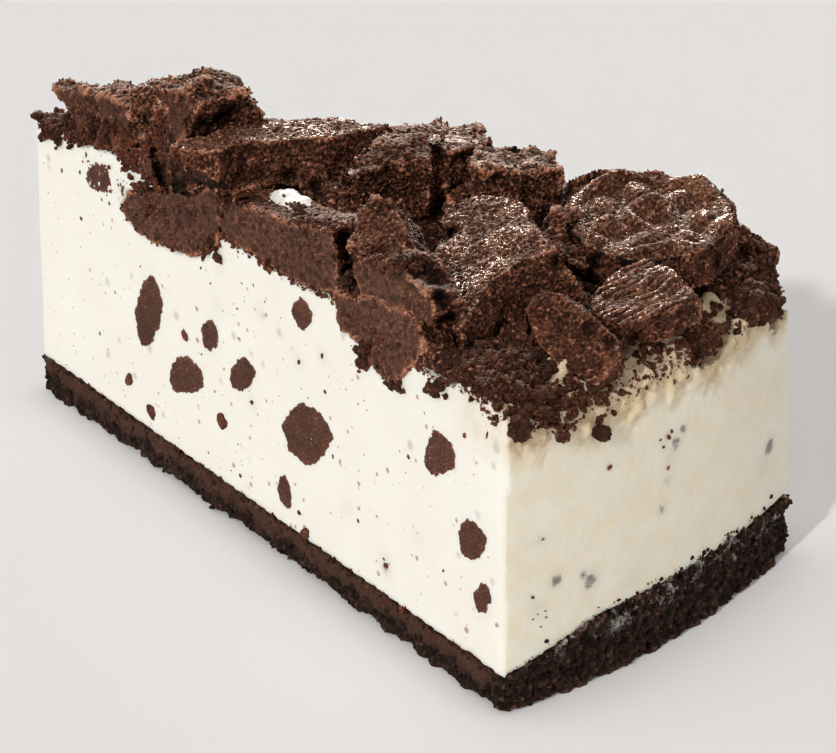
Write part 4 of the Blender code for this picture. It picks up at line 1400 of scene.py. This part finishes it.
places, facing = spread_over(base, 3200, open_sides)
sizes = sizes_for(places, 0.1, 0.4, 3)
places += facing * 0.04
places[:, 2] = np.maximum(places[:, 2], sizes * 1.2)
strew("base_grains", GRAIN, places, sizes, pressed_crumb, "base_biscuit")

points = points_of(base)
at_wall = points[radius_of(points) > 111.5]
angles = np.linspace(-HALF_ANGLE, HALF_ANGLE, 61)
rim_line = highest(at_wall, np.arctan2(at_wall[:, 1], at_wall[:, 0]), angles, 0.012, 5.0)
fringe = []
for angle in rng.uniform(-HALF_ANGLE * 0.97, HALF_ANGLE * 0.9, int(210 * AMOUNT)):
    gathered = 0.5 + 0.5 * math.sin(angle * 61) * math.sin(angle * 23)
    up = np.interp(angle, angles, rim_line) + rng.normal(0, 0.25 + 0.7 * gathered) - 0.5
    fringe.append(np.array((math.cos(angle) * CAKE_RADIUS, math.sin(angle) * CAKE_RADIUS, up)))
on_rim = len(fringe)
stations = np.linspace(3, 112, 80)
for side in FACING:
    at_face = points[outside(points, side) > -1.5]
    line = highest(at_face, radius_of(at_face), stations, 1.2, 4.0)
    for s in rng.uniform(3, 110, int(400 * AMOUNT)):
        fringe.append(on_cut(side, s, np.interp(s, stations, line) + abs(rng.normal(0, 0.35)) - 0.5))
skin = tree_of([cream, base])
fringe = np.array([np.array(skin.find_nearest(Vector(place))[0]) for place in fringe])
sizes = sizes_for(fringe, 0.1, 0.42, 3)
strew("rim_fringe", GRAIN, fringe[:on_rim], sizes[:on_rim], pressed_crumb, "base_biscuit")
strew("cut_fringe", GRAIN, fringe[on_rim:], sizes[on_rim:], loose_crumb, "base_biscuit")

hit, normal, _, _ = crumb_tree.ray_cast(*sight(588, 398))
flecks = np.array([against(hit, normal, 0.05) + rng.normal(0, 0.25, 3) for _ in range(4)])
strew("cream_flecks", LUMP, flecks, rng.uniform(0.15, 0.4, len(flecks)), set_cream, "cream")

# %% [markdown]
# Smaller bits than rice lie in the cut faces as thin flakes, from half a millimetre to four across. They
# are squashed lumps laid in the face, and stand a few hundredths proud of it.

# %% Small flakes in the cut faces
# On each face: distance along it, height, long and short width, lean in degrees
FLAKES = {
    "near": (
        (40.6, 23.5, 1.9, 1.6, 20), (49.7, 14.4, 2.9, 2.4, 30), (31.0, 8.3, 2.5, 2.4, 0),
        (25.2, 10.9, 2.7, 1.7, 48), (70.0, 6.2, 2.8, 1.6, 36), (84.5, 36.9, 3.7, 2.8, 50),
        (89.1, 9.8, 1.3, 0.8, 30), (68.6, 8.7, 1.0, 0.7, 10), (92.5, 5.0, 1.5, 1.0, 40),
        (74.6, 33.6, 1.0, 0.6, 70), (69.1, 30.6, 0.9, 0.6, 60), (57.4, 20.2, 1.0, 0.7, 20),
        (75.2, 28.8, 0.8, 0.6, 0), (111.1, 37.3, 1.3, 0.5, 85), (8.4, 36.4, 0.8, 0.5, 90),
        (13.5, 37.9, 0.7, 0.5, 80), (25.0, 39.2, 0.9, 0.5, 70), (26.2, 38.0, 0.7, 0.5, 70),
    ),
    "far": (
        (50.0, 24.0, 2.2, 1.6, 30), (72.0, 36.0, 2.8, 1.8, 50), (84.0, 9.0, 2.4, 1.5, 10),
        (36.0, 12.0, 2.0, 1.4, 70), (102.0, 26.0, 2.6, 1.7, 40), (20.0, 31.0, 1.6, 1.2, 0),
        (90.0, 36.5, 1.8, 1.2, 60), (57.0, 38.0, 1.5, 1.0, 20), (106.0, 11.0, 1.8, 1.3, 30),
    ),
    "rim": ((-13.5, 29.3, 1.0, 0.6, 20), (-24.3, 23.0, 0.5, 0.3, 40), (-2.6, 25.4, 0.7, 0.4, 60)),
}
# Groups of specks: face, distance, height, spread, number
CLUSTERS = (
    ("near", 25.0, 39.4, 0.9, 14), ("near", 20.4, 38.2, 1.5, 26), ("near", 15.6, 39.8, 0.8, 8),
    ("near", 88.9, 9.9, 0.6, 5), ("rim", -24.8, 12.6, 0.9, 6), ("far", 43.0, 37.0, 0.9, 8),
    ("far", 95.0, 15.0, 0.8, 8),
)
UP = np.array((0.0, 0.0, 1.0))


def flake(side, distance, height, long, short, lean):
    """A lump squashed into a cut face or the rim, turned in it by its lean."""
    if side == "rim":
        turn = distance / CAKE_RADIUS
        facing = np.array((math.cos(turn), math.sin(turn), 0.0))
        middle = facing * CAKE_RADIUS + UP * height
    else:
        facing = FACING[side]
        middle = on_cut(side, distance, height)
    along = np.cross(UP, facing)
    a = math.radians(lean)
    first, second = along * math.cos(a) + UP * math.sin(a), UP * math.cos(a) - along * math.sin(a)
    shape = LUMP[0][rng.integers(0, 4)]
    return middle + shape @ np.array((first * long / 2, second * short / 1.7, facing * 0.1))


def speck(side, distance, height, size):
    """A row for a flake of that size whose shape and lean are left to chance."""
    return side, distance, height, size, size * rng.uniform(0.4, 0.9), rng.uniform(0, 180)


rows = [(side, *row) for side, flakes in FLAKES.items() for row in flakes]
for side in FACING:
    for _ in range(int(70 * AMOUNT)):
        size = 0.2 + 0.7 * rng.random() ** 4
        rows.append(speck(side, rng.uniform(3, 113), rng.uniform(7, 39), size))
for side, distance, height, spread, count in CLUSTERS:
    for _ in range(count):
        size = rng.uniform(0.2, 0.75)
        spot = distance + rng.normal(0, spread), height + rng.normal(0, spread)
        rows.append(speck(side, *spot, size))
flakes = piece_of("cream_flakes", np.array([flake(*row) for row in rows]), LUMP[1], True)
edit(flakes, bpy.ops.mesh.normals_make_consistent, inside=False)
hand_in(flakes, lighter_red_crumb, "cocoa_biscuit")

# %% [markdown]
# Both boxes, of the solids and of the dressed slice, are measured and printed. The dressed slice may
# stand only a little proud of the solids.

# %% Measure the sizes and finish
dressed_box = [list(corner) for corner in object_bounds()]
for name, low, high in (("CAD", *cad_box), ("dressed", *dressed_box)):
    print(name, [round((b - a) / MM, 1) for a, b in zip(low, high)])
